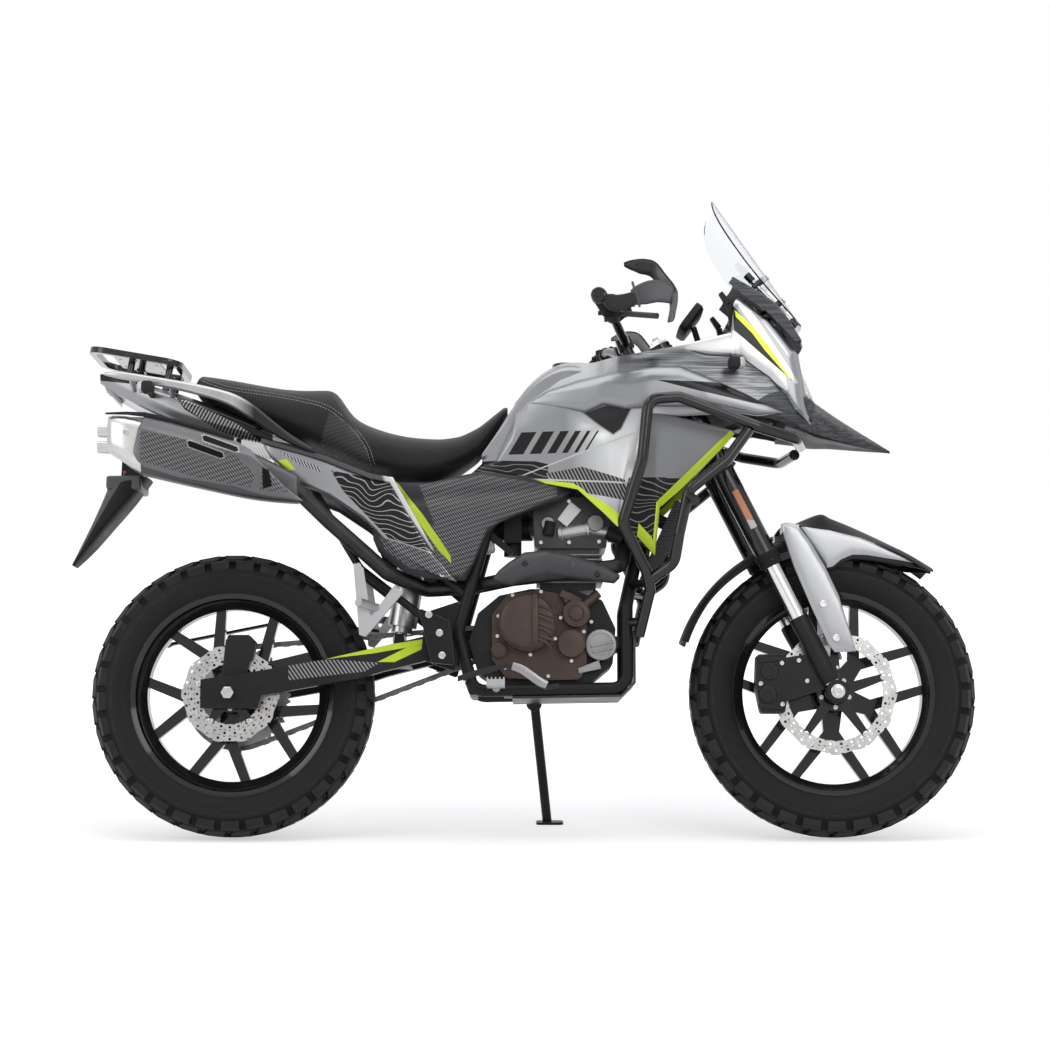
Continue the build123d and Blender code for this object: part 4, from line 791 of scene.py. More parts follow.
lower_grey = finish("lower_grey", (0.19, 0.193, 0.20), rough=0.42, metal=0.3, shade=0.06, lump=120,
    grain=0.5, height=0.015, art_and_painted_light=lower_art)
lower = panel([(222, 812), (246, 812), (262, 945), (296, 952), (401, 932), (480, 912)],
              [(222, 686), (256, 664), (298, 628), (310, 736), (401, 818), (473, 896), (480, 906)],
              standing([222, 300, 401, 480], [156, 162, 154, 148]), crown=5, roll=3, thick=4, columns=60,
              rows=34)
piece("radiator_panels", pair(lower), lower_grey, sharp=40, bevel=1.4)

# ---- side covers and rear panels -----------------------------------------------------------------
# Moulded dark grey plastic below the seat, with a ribbed fabric-like grain inside a smooth border, and
# silver lacquered panels under the pillion. Rubber grommets and one recessed screw hold each.
def cover_art(tree, place, tone):
    """Ribbed field inside a plain border, and a lime stripe down the rear edge."""
    field = either(tree, within(tree, place, [(-230, 790), (-89, 814), (80, 788), (80, 768), (-80, 690),
        (-190, 690)], 2.0), within(tree, place, [(-200, 700), (-75, 700), (-80, 684), (-110, 612),
        (-134, 584), (-172, 586), (-190, 640)], 2.0), within(tree, place,
        [(-322, 680), (-262, 735), (-170, 640), (-176, 590), (-250, 602), (-305, 644)]))
    tone = blend_colours(tree, field, tone, weave(tree, place, RIB_DARK, RIB_PALE, RIB_PITCH))
    return inside(tree, place, tone, LIME,
        [(-290, 799), (-282, 800), (-221, 722), (-236, 712)],
        [(-236, 712), (-221, 722), (-159, 630), (-157, 612), (-184, 640)])


def cover_relief(tree, place):
    """The ribs rise and fall by 0.2 mm, as a sine across the slant."""
    split = add(tree, "SeparateXYZ", None, i0=place)
    down = calc(tree, "ADD", times(tree, split.outputs[0], 0.8), times(tree, split.outputs[2], 0.6))
    return times(tree, ripple(tree, down, 4.4), 0.2)


cover_grey = finish("cover_grey", (0.035, 0.036, 0.039), 0.42, shade=0.1, grain=0.5, art_and_painted_light=cover_art,
    pattern=cover_relief)
cover_upper = [(-333, 690), (-312, 742), (-286, 798), (-250, 797), (-205, 797), (-138, 812), (-89, 822),
    (-3, 812), (42, 800), (86, 792), (112, 784)]
cover_lower = [(-333, 668), (-321, 640), (-261, 592), (-209, 580), (-160, 575), (-126, 575), (-102, 618),
    (-77, 676), (-49, 706), (19, 732), (87, 758), (112, 778)]


def cover_side(x, z):
    """Full behind the rider's knee, waisted along a fold below the seat, and closing on the engine."""
    reach = np.interp(x, [-333, -260, -120, 0, 112], [128, 134, 138, 136, 122])
    return reach - 9 * np.exp(-((z - 770 - 0.08 * (x + 100)) / 14.0) ** 2) + np.interp(z, [575, 660, 800],
        [-3, 3, -2])


cover = panel(cover_upper, cover_lower, cover_side, crown=5, roll=6, columns=80, rows=36)
piece("side_cover_skins", pair(cover), cover_grey, sharp=40, bevel=1.2, stands_for=["side_covers"])


def rear_art(tree, place, tone):
    """A black field with wavy lines behind the bright edge, a ribbed dark tip below it, a short hatch
    and a lime flash at its top."""
    dark = waves(tree, place, BLACK, (0.36, 0.36, 0.36), 11.0)
    tone = inside(tree, place, tone, dark,
        [(-428, 822), (-299, 797), (-173, 628), (-298, 669), (-400, 775)])
    tone = inside(tree, place, tone, weave(tree, place, RIB_DARK, RIB_PALE, RIB_PITCH),
        [(-380, 694), (-130, 610), (-130, 560), (-380, 560)])
    tone = inside(tree, place, tone, hatch(tree, place, BLACK, (0.5, 0.5, 0.5), 6.0),
        [(-548, 868), (-452, 828), (-452, 818), (-500, 836)])
    return inside(tree, place, tone, LIME, [(-548, 846), (-528, 848), (-508, 824), (-524, 822)])


rear_paint = finish("rear_paint", PALE_SILVER, art_and_painted_light=rear_art, **LACQUER)
rear_upper = [(-586, 892), (-521, 878), (-440, 846), (-397, 828), (-340, 806), (-290, 800), (-256, 740),
              (-200, 640), (-146, 574)]
rear_lower = [(-586, 888), (-566, 852), (-498, 790), (-430, 764), (-358, 716), (-330, 690), (-283, 640),
              (-204, 590), (-146, 570)]
rear = panel(rear_upper, rear_lower, standing([-586, -500, -330, -146], [132, 140, 142, 141]), roll=5,
             columns=70, rows=24)
piece("rear_panel_skins", pair(rear), rear_paint, sharp=40, bevel=1.2, stands_for=["rear_panels"])
frame_edge = panel([(-586, 896), (-440, 856), (-340, 816), (-288, 806), (-250, 740), (-196, 642)],
    [(-586, 884), (-440, 842), (-340, 802), (-296, 794), (-262, 734), (-204, 640)], standing([0], [146]),
    crown=1, roll=2, thick=7, columns=50, rows=8)
frame_grey = finish("frame_grey", (0.09, 0.092, 0.098), 0.35, metal=0.5, shade=0.08, grain=0.4, height=0.02,
    art_and_painted_light=lambda tree, place, tone: inside(tree, place, tone, WHITE,
    [(-322, 840), (-180, 840), (-180, 620), (-300, 780)], soft=4))
piece("rear_panel_edges", pair(frame_edge), frame_grey, sharp=40, bevel=1.5)
cover_screws = [screw((-177, s * (cover_side(-177, 588) + 5.5), 588), (0, s, 0), 6.5, 2.5) for s in (-1, 1)]
piece("cover_screws", cover_screws, bright_steel)

# ---- seat ----------------------------------------------------------------------------------------
# One-piece stepped seat: moulded polyurethane foam on a plastic base, under black vinyl with a fine
# leather grain. The pillion's sides are ribbed vinyl, sewn on with two rows of pale thread.
seat_x = [-748, -735, -700, -653, -600, -546, -500, -460, -430, -418, -408, -398, -375, -347, -300, -255,
          -215, -183, -140, -98, -62, -40, -31]
seat_top = [1042, 1055, 1050, 1042, 1032, 1023, 1020, 1021, 1021, 1012, 992, 970, 950, 936, 920, 911, 908,
            907, 914, 936, 966, 984, 986]
seat_low = [1012, 1000, 982, 958, 932, 912, 894, 874, 862, 857, 852, 847, 836, 826, 818, 812, 811, 817, 838,
            868, 922, 958, 972]
seat_half = [84, 96, 112, 122, 128, 130, 130, 131, 132, 133, 133, 134, 134, 134, 133, 130, 124, 116, 98, 80,
             66, 58, 44]


def seat_section(x, zrel):
    """Half width at height zrel, -1 low to 1 high: wide low down, drawn in to the crown above."""
    wide = np.interp(x, seat_x, seat_half)
    return wide * (1 - 0.28 * np.clip((zrel + 0.1) / 1.1, 0, 1) ** 1.7 - 0.07
        * np.clip(-(zrel + 0.4) / 0.6, 0, 1))


def seat_side(x, z):
    """Where the seat's skin is across, at a place in the side view: a rounded-off oblong section."""
    low, high = np.interp(x, seat_x, seat_low), np.interp(x, seat_x, seat_top)
    zrel = np.clip((z - (low + high) / 2) / ((high - low) / 2), -0.999, 0.999)
    return seat_section(x, zrel) * (1 - np.abs(zrel) ** 4.2) ** (1 / 3.0)


def squared(wave, power):
    """A sine or cosine drawn out towards a square: its size to a power below 1, with its sign."""
    return np.sign(wave) * np.abs(wave) ** power


xs = -747.5 + 716 * (0.5 - 0.5 * np.cos(np.linspace(0.06, np.pi - 0.06, 110)))
t = np.linspace(0, 2 * np.pi, 96, endpoint=False)
low = np.interp(xs, seat_x, seat_low)[:, None]
high = np.interp(xs, seat_x, seat_top)[:, None]
kernel = np.array([1, 2, 3, 2, 1]) / 9.0
low[2:-2, 0], high[2:-2, 0] = np.convolve(low[:, 0], kernel, "valid"), np.convolve(high[:, 0], kernel,
    "valid")
zrel = squared(np.sin(t), 1 / 2.1)
shape = squared(np.cos(t), 2 / 3.0)
end_round = np.sqrt(np.clip(1 - np.clip((np.abs(xs + 389) - 346) / 14, 0, 1) ** 2, 0.0, 1))[:, None]
z = (low + high) / 2 + (high - low) / 2 * zrel * (0.35 + 0.65 * end_round)
y = seat_section(xs[:, None], zrel[None]) * shape * (0.35 + 0.65 * end_round)
pillow = np.clip(zrel, 0, 1)[None] ** 6 * 5 * (1 - (y / 110) ** 2)
seat_grid = np.stack([xs[:, None] + 0 * z, y, z + pillow], -1)


def seat_art(tree, place, tone):
    """Ribbed side panels beside the pillion: the field behind and below the sewn line."""
    ribs = weave(tree, place, (0.016, 0.016, 0.017), (0.085, 0.085, 0.088), 4.0)
    field = either(tree, within(tree, place, [(-740, 1034), (-694, 1006), (-638, 990), (-581, 976),
        (-500, 968), (-433, 956), (-400, 880), (-480, 840), (-760, 960)]),
        within(tree, place, [(-434, 957), (-399, 939), (-369, 911), (-348, 872), (-338, 800), (-480, 800)]))
    split = add(tree, "SeparateXYZ", None, i0=place)
    outside = spread(tree, calc(tree, "ABSOLUTE", split.outputs[1]), 66, 68)
    return blend_colours(tree, times(tree, field, outside), tone, ribs)


def leather(tree, place):
    """Leather grain: cell edges 0.12 mm deep."""
    cells = add(tree, "TexVoronoi", {"feature": 'DISTANCE_TO_EDGE'}, Vector=place, Scale=0.55).outputs[0]
    return times(tree, spread(tree, cells, 0, 0.12), 0.12)


vinyl = finish("vinyl", (0.013, 0.013, 0.0145), 0.46, shade=0.2, lump=120, sheen=0.06, art_and_painted_light=seat_art,
    pattern=leather)
seat = piece("seat_cushion", capped(seat_grid), vinyl, sharp=60, stands_for=["seat"])

stitch_line = through([(-730, 1038), (-703, 1024), (-660, 1010), (-600, 1001), (-550, 994), (-500, 984),
    (-450, 970), (-415, 948), (-380, 915), (-352, 876), (-338, 834)], 400)


def stitches(line, shift, length=4.6, gap=2.4, radius=0.55):
    """Short threads end to end along a line on the seat's skin, moved sideways by shift."""
    run = np.concatenate([[0], np.cumsum(np.linalg.norm(np.diff(line, axis=0), axis=1))])
    starts = np.arange(2, run[-1] - 6, length + gap)
    a, b = (np.stack([np.interp(s, run, line[:, 0]), np.interp(s, run, line[:, 1])], -1)
            for s in (starts, starts + length))
    along = (b - a) / np.linalg.norm(b - a, axis=1, keepdims=True)
    side = np.stack([-along[:, 1], along[:, 0]], -1) * shift
    parts = []
    for sign in (-1, 1):
        ends = []
        for p in (a + side, b + side):
            ends.append(np.stack([p[:, 0], sign * (seat_side(p[:, 0], p[:, 1]) + 0.5), p[:, 1]], -1))
        for k in range(len(starts)):
            parts.append(round_bar(ends[0][k], ends[1][k], radius, sides=5))
    return joined(parts)


thread = finish("thread", (0.42, 0.42, 0.40), 0.7, shade=0.1, lump=6, grain=0.3, height=0.03)
thread_rows = joined([stitches(stitch_line, 0.0), stitches(stitch_line, 8.0)])
piece("seat_stitching", thread_rows, thread, sharp=60)

# ---- front fairing -------------------------------------------------------------------------------
# Two lacquered nose panels meet the lamp along their slanted front edges. A dark visor bridges them
# over the lamp and a pointed beak hangs below it, both of moulded grained plastic.
def nose_side(x, z):
    """Flat along the tank, drawn in to the lamp along the slanted front edge."""
    edge = np.interp(z, [930, 985, 1020, 1090, 1160, 1222], [655, 644, 641, 629, 576, 494])
    return np.interp(x, [357, 500, 600, 655], [151, 151, 146,
        139]) - 22 * np.exp(-(np.clip(edge - x, 0, 200) / 12.0) ** 2)


def nose_art_and_highlight(tree, place, tone):
    """Dark foil fields by the lamp, a painted highlight in near white on the shoulder and brow, a black
    wedge with a lime line along its top, and a grey strip beside the lamp."""
    dark = streaks(tree, place, (0.10, 0.103, 0.11), (0.22, 0.225, 0.235))
    tone = inside(tree, place, tone, dark,
        [(484, 1222), (500, 1236), (660, 1100), (660, 990), (622, 1019), (523, 1188)])
    tone = inside(tree, place, tone, dark, [(560, 1050), (596, 1004), (660, 930), (600, 930), (540, 1030)])
    # Painted highlight: the shoulder and brow are near white where the silver catches the light.
    tone = inside(tree, place, tone, (0.58, 0.585, 0.59),
        [(350, 1098), (350, 1108), (478, 1140), (560, 1080), (495, 1086), (420, 1087)],
        [(478, 1140), (592, 1058), (601, 1006), (596, 1004), (495, 1085)],
        [(473, 1222), (521, 1186), (626, 1023), (618, 1019), (490, 1198)])
    tone = inside(tree, place, tone, BLACK, [(478, 1200), (480, 1142), (613, 1024)])
    tone = inside(tree, place, tone, LIME,
        [(482, 1188), (488, 1183), (528, 1143), (524, 1132), (485, 1172)],
        [(526, 1146), (562, 1100), (608, 1031), (604, 1032), (548, 1098), (522, 1134)])
    return inside(tree, place, tone, (0.5, 0.51, 0.53),
        [(542, 1166), (552, 1168), (612, 1092), (606, 1078)])


nose_paint = finish("nose_paint", PALE_SILVER, art_and_painted_light=nose_art_and_highlight, **LACQUER)
nose_upper = [(357, 1107), (418, 1123), (474, 1137), (480, 1203), (492, 1224), (530, 1196), (577, 1158),
              (629, 1090), (641, 1020), (655, 934)]
nose_lower = [(357, 1100), (420, 1085), (495, 1082), (560, 1036), (598, 992), (616, 962), (655, 930)]
nose = pair(panel(nose_upper, nose_lower, nose_side, crown=3, roll=3, columns=80, rows=30))
piece("nose_panels", nose, nose_paint, sharp=40, bevel=1.0, stands_for=["front_fairing"])

visor_rows = []
# x and z of the visor's side edge, then of its shoulder
for x0, z0, x1, z1 in ((473, 1256, 482, 1273), (511, 1224, 531, 1247), (557, 1191, 581, 1211),
        (594, 1153, 615, 1166), (624, 1121, 637, 1118)):
    half = [(x0, -138, z0), ((x0 + x1) / 2 + 4, -134, (z0 + z1) / 2 + 4), (x1, -112, z1),
            (x1 + 9, -58, z1 + 5), (x1 + 12, 0, z1 + 7)]
    visor_rows.append(through(half + [(x, -y, z) for x, y, z in half[-2::-1]], 60))
visor = through(visor_rows, 40)
beak_top, beak_low = (0.055, 0.056, 0.06), (0.13, 0.133, 0.14)


def foil(tree, place, tone):
    """Pale lines drawn along dark grey on both mouldings, and plain black under the beak."""
    tone = streaks(tree, place, tone, beak_low)
    return inside(tree, place, tone, BLACK, [(560, 936), (674, 914), (855, 891), (855, 860), (560, 870)])


def mirrored_section(x, half, count):
    """A closed section at x: a smooth curve down its half, (across, height), and back up mirrored."""
    ring = through(half, count)
    ring = np.concatenate([ring, ring[-2:0:-1] * (-1, 1)])
    return np.concatenate([np.full((len(ring), 1), x), ring], 1)


grained = finish("grained", beak_top, 0.42, shade=0.1, grain=0.7, height=0.06, art_and_painted_light=foil)
shade = shell(visor, visor - np.array([2.6, 0, 2.2]) * np.ones_like(visor))
beak_rows = []
# x, then height and half width of the crown, the widest line and the underside
for x, z2, half2, z1, half1, z0, half0 in ((598, 988, 84, 958, 141, 926, 130),
        (640, 999, 66, 962, 122, 918, 108), (672, 996, 50, 950, 96, 908, 84),
        (720, 966, 36, 928, 68, 902, 59), (780, 930, 20, 907, 38, 893, 33), (830, 900, 8, 893, 15, 887, 12),
        (850, 888, 2.4, 887, 5, 884, 3)):
    half = [(0, z2 + 1), (half2 * 0.6, z2), (half2, z2 - 5), (half1 * 0.86, (z1 + z2) / 2 - 2), (half1, z1),
            (half0, z0 + 4), (half0 * 0.8, z0), (0, z0 + 3)]
    beak_rows.append(mirrored_section(x, half, 28))
beak = capped(through(beak_rows, 50))
side_strip = panel([(477, 968), (560, 1000), (592, 1011), (640, 1000), (668, 984)],
    [(477, 963), (530, 948), (580, 938), (640, 922), (668, 912)],
    standing([477, 560, 620, 668], [146, 146, 134, 104]), crown=3, columns=50, rows=16)
piece("visor_and_beak", [shade, beak, pair(side_strip)], grained, sharp=40, bevel=0.8)
plain_black = finish("plain_black", (0.02, 0.02, 0.021), 0.5, shade=0.15, grain=0.6, round_edge=0.8)
brow = [bar_between((452, 1232), (470, 1206), 5, 7, -140, -122),
        bar_between((470, 1206), (482, 1140), 7, 6, -138, -126),
        bar_between((560, 1090), (640, 930), 26, 20, -116, 116)]
piece("nose_inner", [pair(brow[0]), pair(brow[1]), brow[2]], plain_black, bevel=1.5)

# ---- screen and its bracket ----------------------------------------------------------------------
# Clear 4 mm acrylic, bent round an upright axis. It bolts to two slides, which stand on the visor on
# posts and carry black thumb screws at both ends.
rise, ahead = np.array([-0.5645, 0, 0.8255]), np.array([0.8255, 0, 0.5645])
screen_half = through([[0.0, 56], [0.06, 84], [0.17, 116], [0.33, 141], [0.5, 153], [0.66, 155], [0.8, 150],
    [0.9, 136], [0.96, 114], [1.0, 84]], 60)
v = np.linspace(-1, 1, 61)
across = screen_half[:, 1:2] * v[None]
SCREEN_FOOT, SCREEN_LENGTH = np.array([649, 0, 1175]), 352.5
SCREEN_BOW, SCREEN_HALF, SCREEN_THICK = 44, 155.0, 3.6      # the bow is at the widest place
bow = SCREEN_BOW * (across / SCREEN_HALF) ** 2
at = SCREEN_FOOT + screen_half[:, :1, None] * SCREEN_LENGTH * rise - bow[..., None] * ahead
at[..., 1] += across
clear, tree = bare_material("clear_acrylic")
haze = spread(tree, noise(tree, upright(tree), 30.0), 0.4, 0.7, 0.015, 0.05)
acrylic = add(tree, "BsdfPrincipled", None, Roughness=haze)
acrylic.inputs["Base Color"].default_value = (0.9, 0.92, 0.95, 1)
acrylic.inputs["Transmission Weight"].default_value = 1.0
acrylic.inputs["IOR"].default_value = 1.3
add(tree, "OutputMaterial", Surface=acrylic)
piece("screen_sheet", shell(at, at - SCREEN_THICK * ahead), clear, sharp=50, stands_for=["windscreen"])

slides, black_bits, screen_screws = [], [], []
for s in (-70, 70):
    top, foot = np.array([524, s, 1282.0]), np.array([622, s, 1176.0])
    along = (foot - top) / np.linalg.norm(foot - top)
    out = np.array([-along[2], 0, along[0]])
    slides += [round_bar(top, foot, 5.5), round_bar(top + out * -9 + along * 18,
        foot + out * -9 - along * 8, 3.2)]
    black_bits += [round_bar(top - along * 10, top + along * 12, 9),
        round_bar(foot - along * 8, foot + along * 14, 9.5)]
    for share in (0.16, 0.62):
        hold = top + (foot - top) * share
        gap = -np.dot(hold - SCREEN_FOOT, ahead) - SCREEN_BOW * (s / SCREEN_HALF) ** 2 - SCREEN_THICK
        black_bits += [round_bar(hold - ahead * 10, hold + ahead * (gap + 0.2), 8)]
        screen_screws.append(screw(hold + ahead * (gap + 4.0), ahead, 7.5, 3.0))
    for share in (0.12, 0.5, 0.86):
        hold = top + (foot - top) * share
        slides.append(round_bar(hold, hold - ahead * 24 - np.array([0, 0, 6]), 4.5))
    black_bits.append(round_bar((545, s, 1190), np.array([545, s, 1190]) + ahead * 34, 6))
piece("screen_slides", slides, bright_steel)
piece("screen_clamps", black_bits, gloss_black, bevel=0.8)
piece("screen_screws", screen_screws, bright_steel)

# ---- headlamp ------------------------------------------------------------------------------------
# A polycarbonate lens glued to a black bowl, with two chromed projector barrels and a light bar over
# them. It fills the space between the nose panels.
u, v = np.linspace(0, 1, 26)[:, None], np.linspace(-1, 1, 49)[None]
profile = through([(594, 1150), (616, 1108), (640, 1056), (660, 1006), (668, 984)], 26)
wide = np.interp(u[:, 0], [0, 0.25, 0.5, 0.8, 1], [70, 92, 110, 112, 100])[:, None]
lens_x = profile[:, :1] + 8 * (1 - v ** 2) - 16 * np.abs(v) ** 5
lens = np.stack([lens_x, wide * v, profile[:, 1:] + 0 * v], -1)
lens_inner = lens - np.array([3.0, 0, 1.2])
lens_glass, tree = bare_material("lamp_glass")
haze = spread(tree, noise(tree, upright(tree), 12.0), 0.4, 0.7, 0.02, 0.06)
glass = add(tree, "BsdfPrincipled", None, Roughness=haze)
glass.inputs["Base Color"].default_value = (0.93, 0.95, 0.97, 1)
glass.inputs["Transmission Weight"].default_value = 0.9
glass.inputs["Coat Weight"].default_value = 0.5
add(tree, "OutputMaterial", Surface=glass)
piece("lamp_lens", shell(lens, lens_inner), lens_glass, sharp=50, stands_for=["headlamp"])
bowl_outer = lens - np.array([5.0, 0, 3.0])
bowl_deep = np.stack([bowl_outer[..., 0] - 34 * (1 - np.abs(v) ** 6) * (1 - np.abs(2 * u - 1) ** 6),
    bowl_outer[..., 1] * 0.97, bowl_outer[..., 2] - 6], -1)
piece("lamp_bowl", shell(bowl_deep, bowl_deep - np.array([3.0, 0, 1.0])), gloss_black, sharp=50)
barrels, domes = [], []
facing, slope_up, across = np.array([0.95, 0, 0.31]), np.array([-0.31, 0, 0.95]), np.array([0, 1.0, 0])
r = 27
t = np.linspace(0, 2 * np.pi, 32, endpoint=False)[None, :, None]
f = np.linspace(0.03, np.pi / 2, 10)[:, None, None]
for y in (-46, 46):
    middle = np.array([606, y, 1036.0])
    front = middle + facing * 26
    barrels += [round_bar(middle, front, r, radius_end=r + 3),
                round_bar(front, middle + facing * 29, r + 3, radius_end=r - 1)]
    ball = np.sin(f) * (np.cos(t) * across + np.sin(t) * slope_up) + 0.5 * np.cos(f) * facing
    domes.append(capped(front + (r - 3) * ball))
bar = bar_between((604, 1098), (590, 1124), 4, 3, -62, 62)
piece("lamp_barrels", barrels + [bar], bright_steel, bevel=0.6)
piece("lamp_projectors", domes, lens_glass)

# ---- turn signals --------------------------------------------------------------------------------
# Rubber stalks bolted through the fairing and the tail, each with a small lamp: a black housing and a
# pale lens on its outer half.
def lamp_pod(x, z, near, far, facing):
    """The stalk, then the housing and the lens as rings of a rounded oblong along the machine's width."""
    stalk = [round_bar((x, -near, z), (x, -near - 12, z), 13, radius_end=9),
             round_bar((x, -near - 12, z), (x, -far, z), 8.5, radius_end=7)]
    t = np.linspace(0, 2 * np.pi, 40, endpoint=False)
    square = squared(np.cos(t), 0.6), squared(np.sin(t), 0.6)
    rows = []
    for y, grow in ((far - 3, 0.5), (far - 1, 0.86), (far + 6, 1.0), (far + 22, 1.0), (far + 30, 0.93),
            (far + 33, 0.6)):
        rows.append(np.stack([x + 20 * grow * square[0] * 0.72 - facing * 4, np.full(40, -y),
            z + 14 * grow * square[1]], -1))
    lens_rows = [np.stack([x + facing * (9 + depth) + 0 * t, -(far + 15) + 15.5 * square[0] * grow,
        z + 12.5 * square[1] * grow], -1) for depth, grow in ((-6, 1), (5, 1), (9, 0.8), (11, 0.4))]
    return joined(stalk + [capped(np.array(rows))]), capped(np.array(lens_rows))


pods = [lamp_pod(480, 1056, 141, 186, 1), lamp_pod(-836, 998, 20, 200, -1)]
piece("signal_stalks", [pair(p[0]) for p in pods], plain_black, sharp=40, bevel=0.5)
pale_lens = finish("pale_lens", (0.62, 0.60, 0.56), 0.12, shade=0.08, lump=4, grain=0.3, height=0.0,
    coat=1.0, pattern=lambda tree, place: times(tree,
    add(tree, "TexVoronoi", None, Vector=place, Scale=0.25).outputs[0], 0.15))
piece("signal_lenses", [pair(p[1]) for p in pods], pale_lens, sharp=40)

# ---- instrument ----------------------------------------------------------------------------------
# A sealed display in a black moulded case with a hard flat window, on a bracket of the fairing stay.
# Bars and blocks show its reading.
def facing_plane(origin):
    """A way to place points on a plane that faces the rider: y across, h up its slope, d out of it."""
    across, up, out = np.array([[0, 1, 0], [0.6, 0, 0.8], [-0.8, 0, 0.6]])
    return lambda y, h, d: origin + across * y + up * h + out * d


on_dash = facing_plane((392, 0, 1192))


def oblong(place, half_w, half_h, rows, power=0.35, count=56):
    """Rings of a rounded oblong on a slope: (depth, share of the size) for each row."""
    t = np.linspace(0, 2 * np.pi, count, endpoint=False)
    a, b = squared(np.cos(t), power), squared(np.sin(t), power)
    rings = [[place(half_w * s * p, half_h * s * q, d) for p, q in zip(a, b)] for d, s in rows]
    return capped(np.array(rings))


case_rows = [(-11, 0.7), (-10, 0.9), (-4, 0.99), (7, 1), (10.5, 0.98), (10.9, 0.93), (9.6, 0.9)]
stem = [round_bar((400, 0, 1180), (418, 0, 1120), 7), round_bar((418, 0, 1120), (434, 0, 1040), 7)]
piece("dash_case", [oblong(on_dash, 75, 38, case_rows)] + stem, plain_black, stands_for=["instrument"])


def dash_art(tree, place, tone):
    """A bow of bars, a block and a row of squares, in pale grey and lime on near black."""
    split = add(tree, "SeparateXYZ", None, i0=place)
    y = split.outputs[1]
    ahead = times(tree, calc(tree, "SUBTRACT", split.outputs[0], 392.0), 0.6)
    above = times(tree, calc(tree, "SUBTRACT", split.outputs[2], 1192.0), 0.8)
    h = calc(tree, "ADD", ahead, above)
    off_middle = calc(tree, "ABSOLUTE", y)
    ticks = spread(tree, ripple(tree, y, 6.0), -0.2, 0.0)
    shown = spread(tree, off_middle, 58, 58.6, 1, 0)
    band = times(tree, spread(tree, h, 14, 14.6), spread(tree, h, 24, 24.6, 1, 0))
    row = times(tree, spread(tree, h, -22, -21.5), spread(tree, h, -17, -16.5, 1, 0))
    tall = times(tree, spread(tree, h, -10, -9.5), spread(tree, h, 8, 8.5, 1, 0))
    block = times(tree, tall, spread(tree, off_middle, 20, 20.6, 1, 0))
    for share, colour in ((band, LIME), (row, (0.4, 0.42, 0.44))):
        lit = times(tree, times(tree, share, ticks), shown)
        tone = blend_colours(tree, lit, tone, colour)
    return blend_colours(tree, block, tone, (0.10, 0.11, 0.115))


dash_glass = finish("dash_glass", (0.012, 0.013, 0.016), 0.1, shade=0.1, grain=0.5, height=0.002, coat=1.0,
    art_and_painted_light=dash_art)
piece("dash_window", oblong(on_dash, 67, 31, [(9.0, 1), (9.9, 1), (10.2, 0.98)]), dash_glass)

# ---- front fender --------------------------------------------------------------------------------
# Injection-moulded: a black inner guard close round the tyre, a raised blade above it, silver webs
# between them, and silver arms that bolt to the lower fork legs.
axle = WHEELS["front"]["axle"]
angle = np.radians(np.linspace(51, 161, 60))[:, None]
y = np.linspace(-66, 66, 41)[None]
r = 366 - 15 * np.abs(y / 66.0) ** 3.2
guard = turned(axle, y, r, angle)
guard_inner = turned(axle, y * 0.97, r - 4, angle)
blade_line = through([(588, 704), (625, 718), (684, 741), (712, 731), (760, 711), (824, 681), (890, 648),
    (942, 617)], 80)
half = np.interp(blade_line[:, 0], [588, 640, 820, 900, 942], [66, 67, 66, 55, 20])[:, None]
skirt = np.interp(blade_line[:, 0], [588, 634, 701, 771, 815, 891, 942],
    [702, 707, 698, 679, 660, 626, 609])[:, None]
v = np.linspace(-1, 1, 41)[None]
drop = -(blade_line[:, 1:] - skirt) * np.abs(v) ** 1.5
blade = np.stack([blade_line[:, :1] + 0 * v, half * v, blade_line[:, 1:] + drop], -1)
blade_inner = blade * (1, 0.97, 1) - np.array([0.8, 0, 3.6])
under_lip = panel([(690, 612), (706, 616), (725, 632), (751, 643), (783, 641), (891, 624), (936, 611)],
    [(690, 606), (706, 607), (725, 621), (751, 631), (783, 629), (891, 613), (936, 607)],
    standing([690, 800, 891, 936], [64, 64, 55, 22]), crown=1, roll=1, thick=5, columns=60, rows=6)
piece("fender_guard", [shell(guard, guard_inner), shell(blade, blade_inner), pair(under_lip)], plain_black,
      "steering", sharp=45, bevel=0.8, stands_for=["front_fender"])
web = panel([(634, 708), (701, 699), (771, 680), (815, 661), (891, 626)],
            [(634, 704), (693, 611), (706, 614), (725, 630), (751, 641), (783, 640), (891, 623)],
            standing([634, 800, 891], [66, 66, 57]), crown=2, roll=1, columns=60, rows=16)
arm = panel([(584, 704), (604, 707), (621, 702), (646, 668), (682, 606), (712, 540), (747, 421)],
            [(584, 699), (600, 640), (612, 606), (648, 520), (686, 434), (700, 415), (747, 416)],
            standing([0], [123.5]), crown=3, roll=3, thick=3.5, columns=60, rows=16)
fender_silver = finish("fender_silver", (0.38, 0.385, 0.395), **LACQUER)
shelf = bar_between((588, 694), (624, 694), 8, 8, -124, -60)
lugs, fender_screws = [], []
for x, z in ((675, 522), (703, 446)):
    lugs.append(round_bar((x, -121, z), (x - 14, -108, z - 6), 7))
    fender_screws.append(screw((x, -128.0, z), (0, -1, 0), 8, 4))
piece("fender_arms", [pair(web), pair(arm), pair(shelf)], fender_silver, "steering", sharp=40, bevel=0.8)
piece("fender_fixings", [pair(joined(lugs)), pair(joined(fender_screws))], bright_steel, "steering")

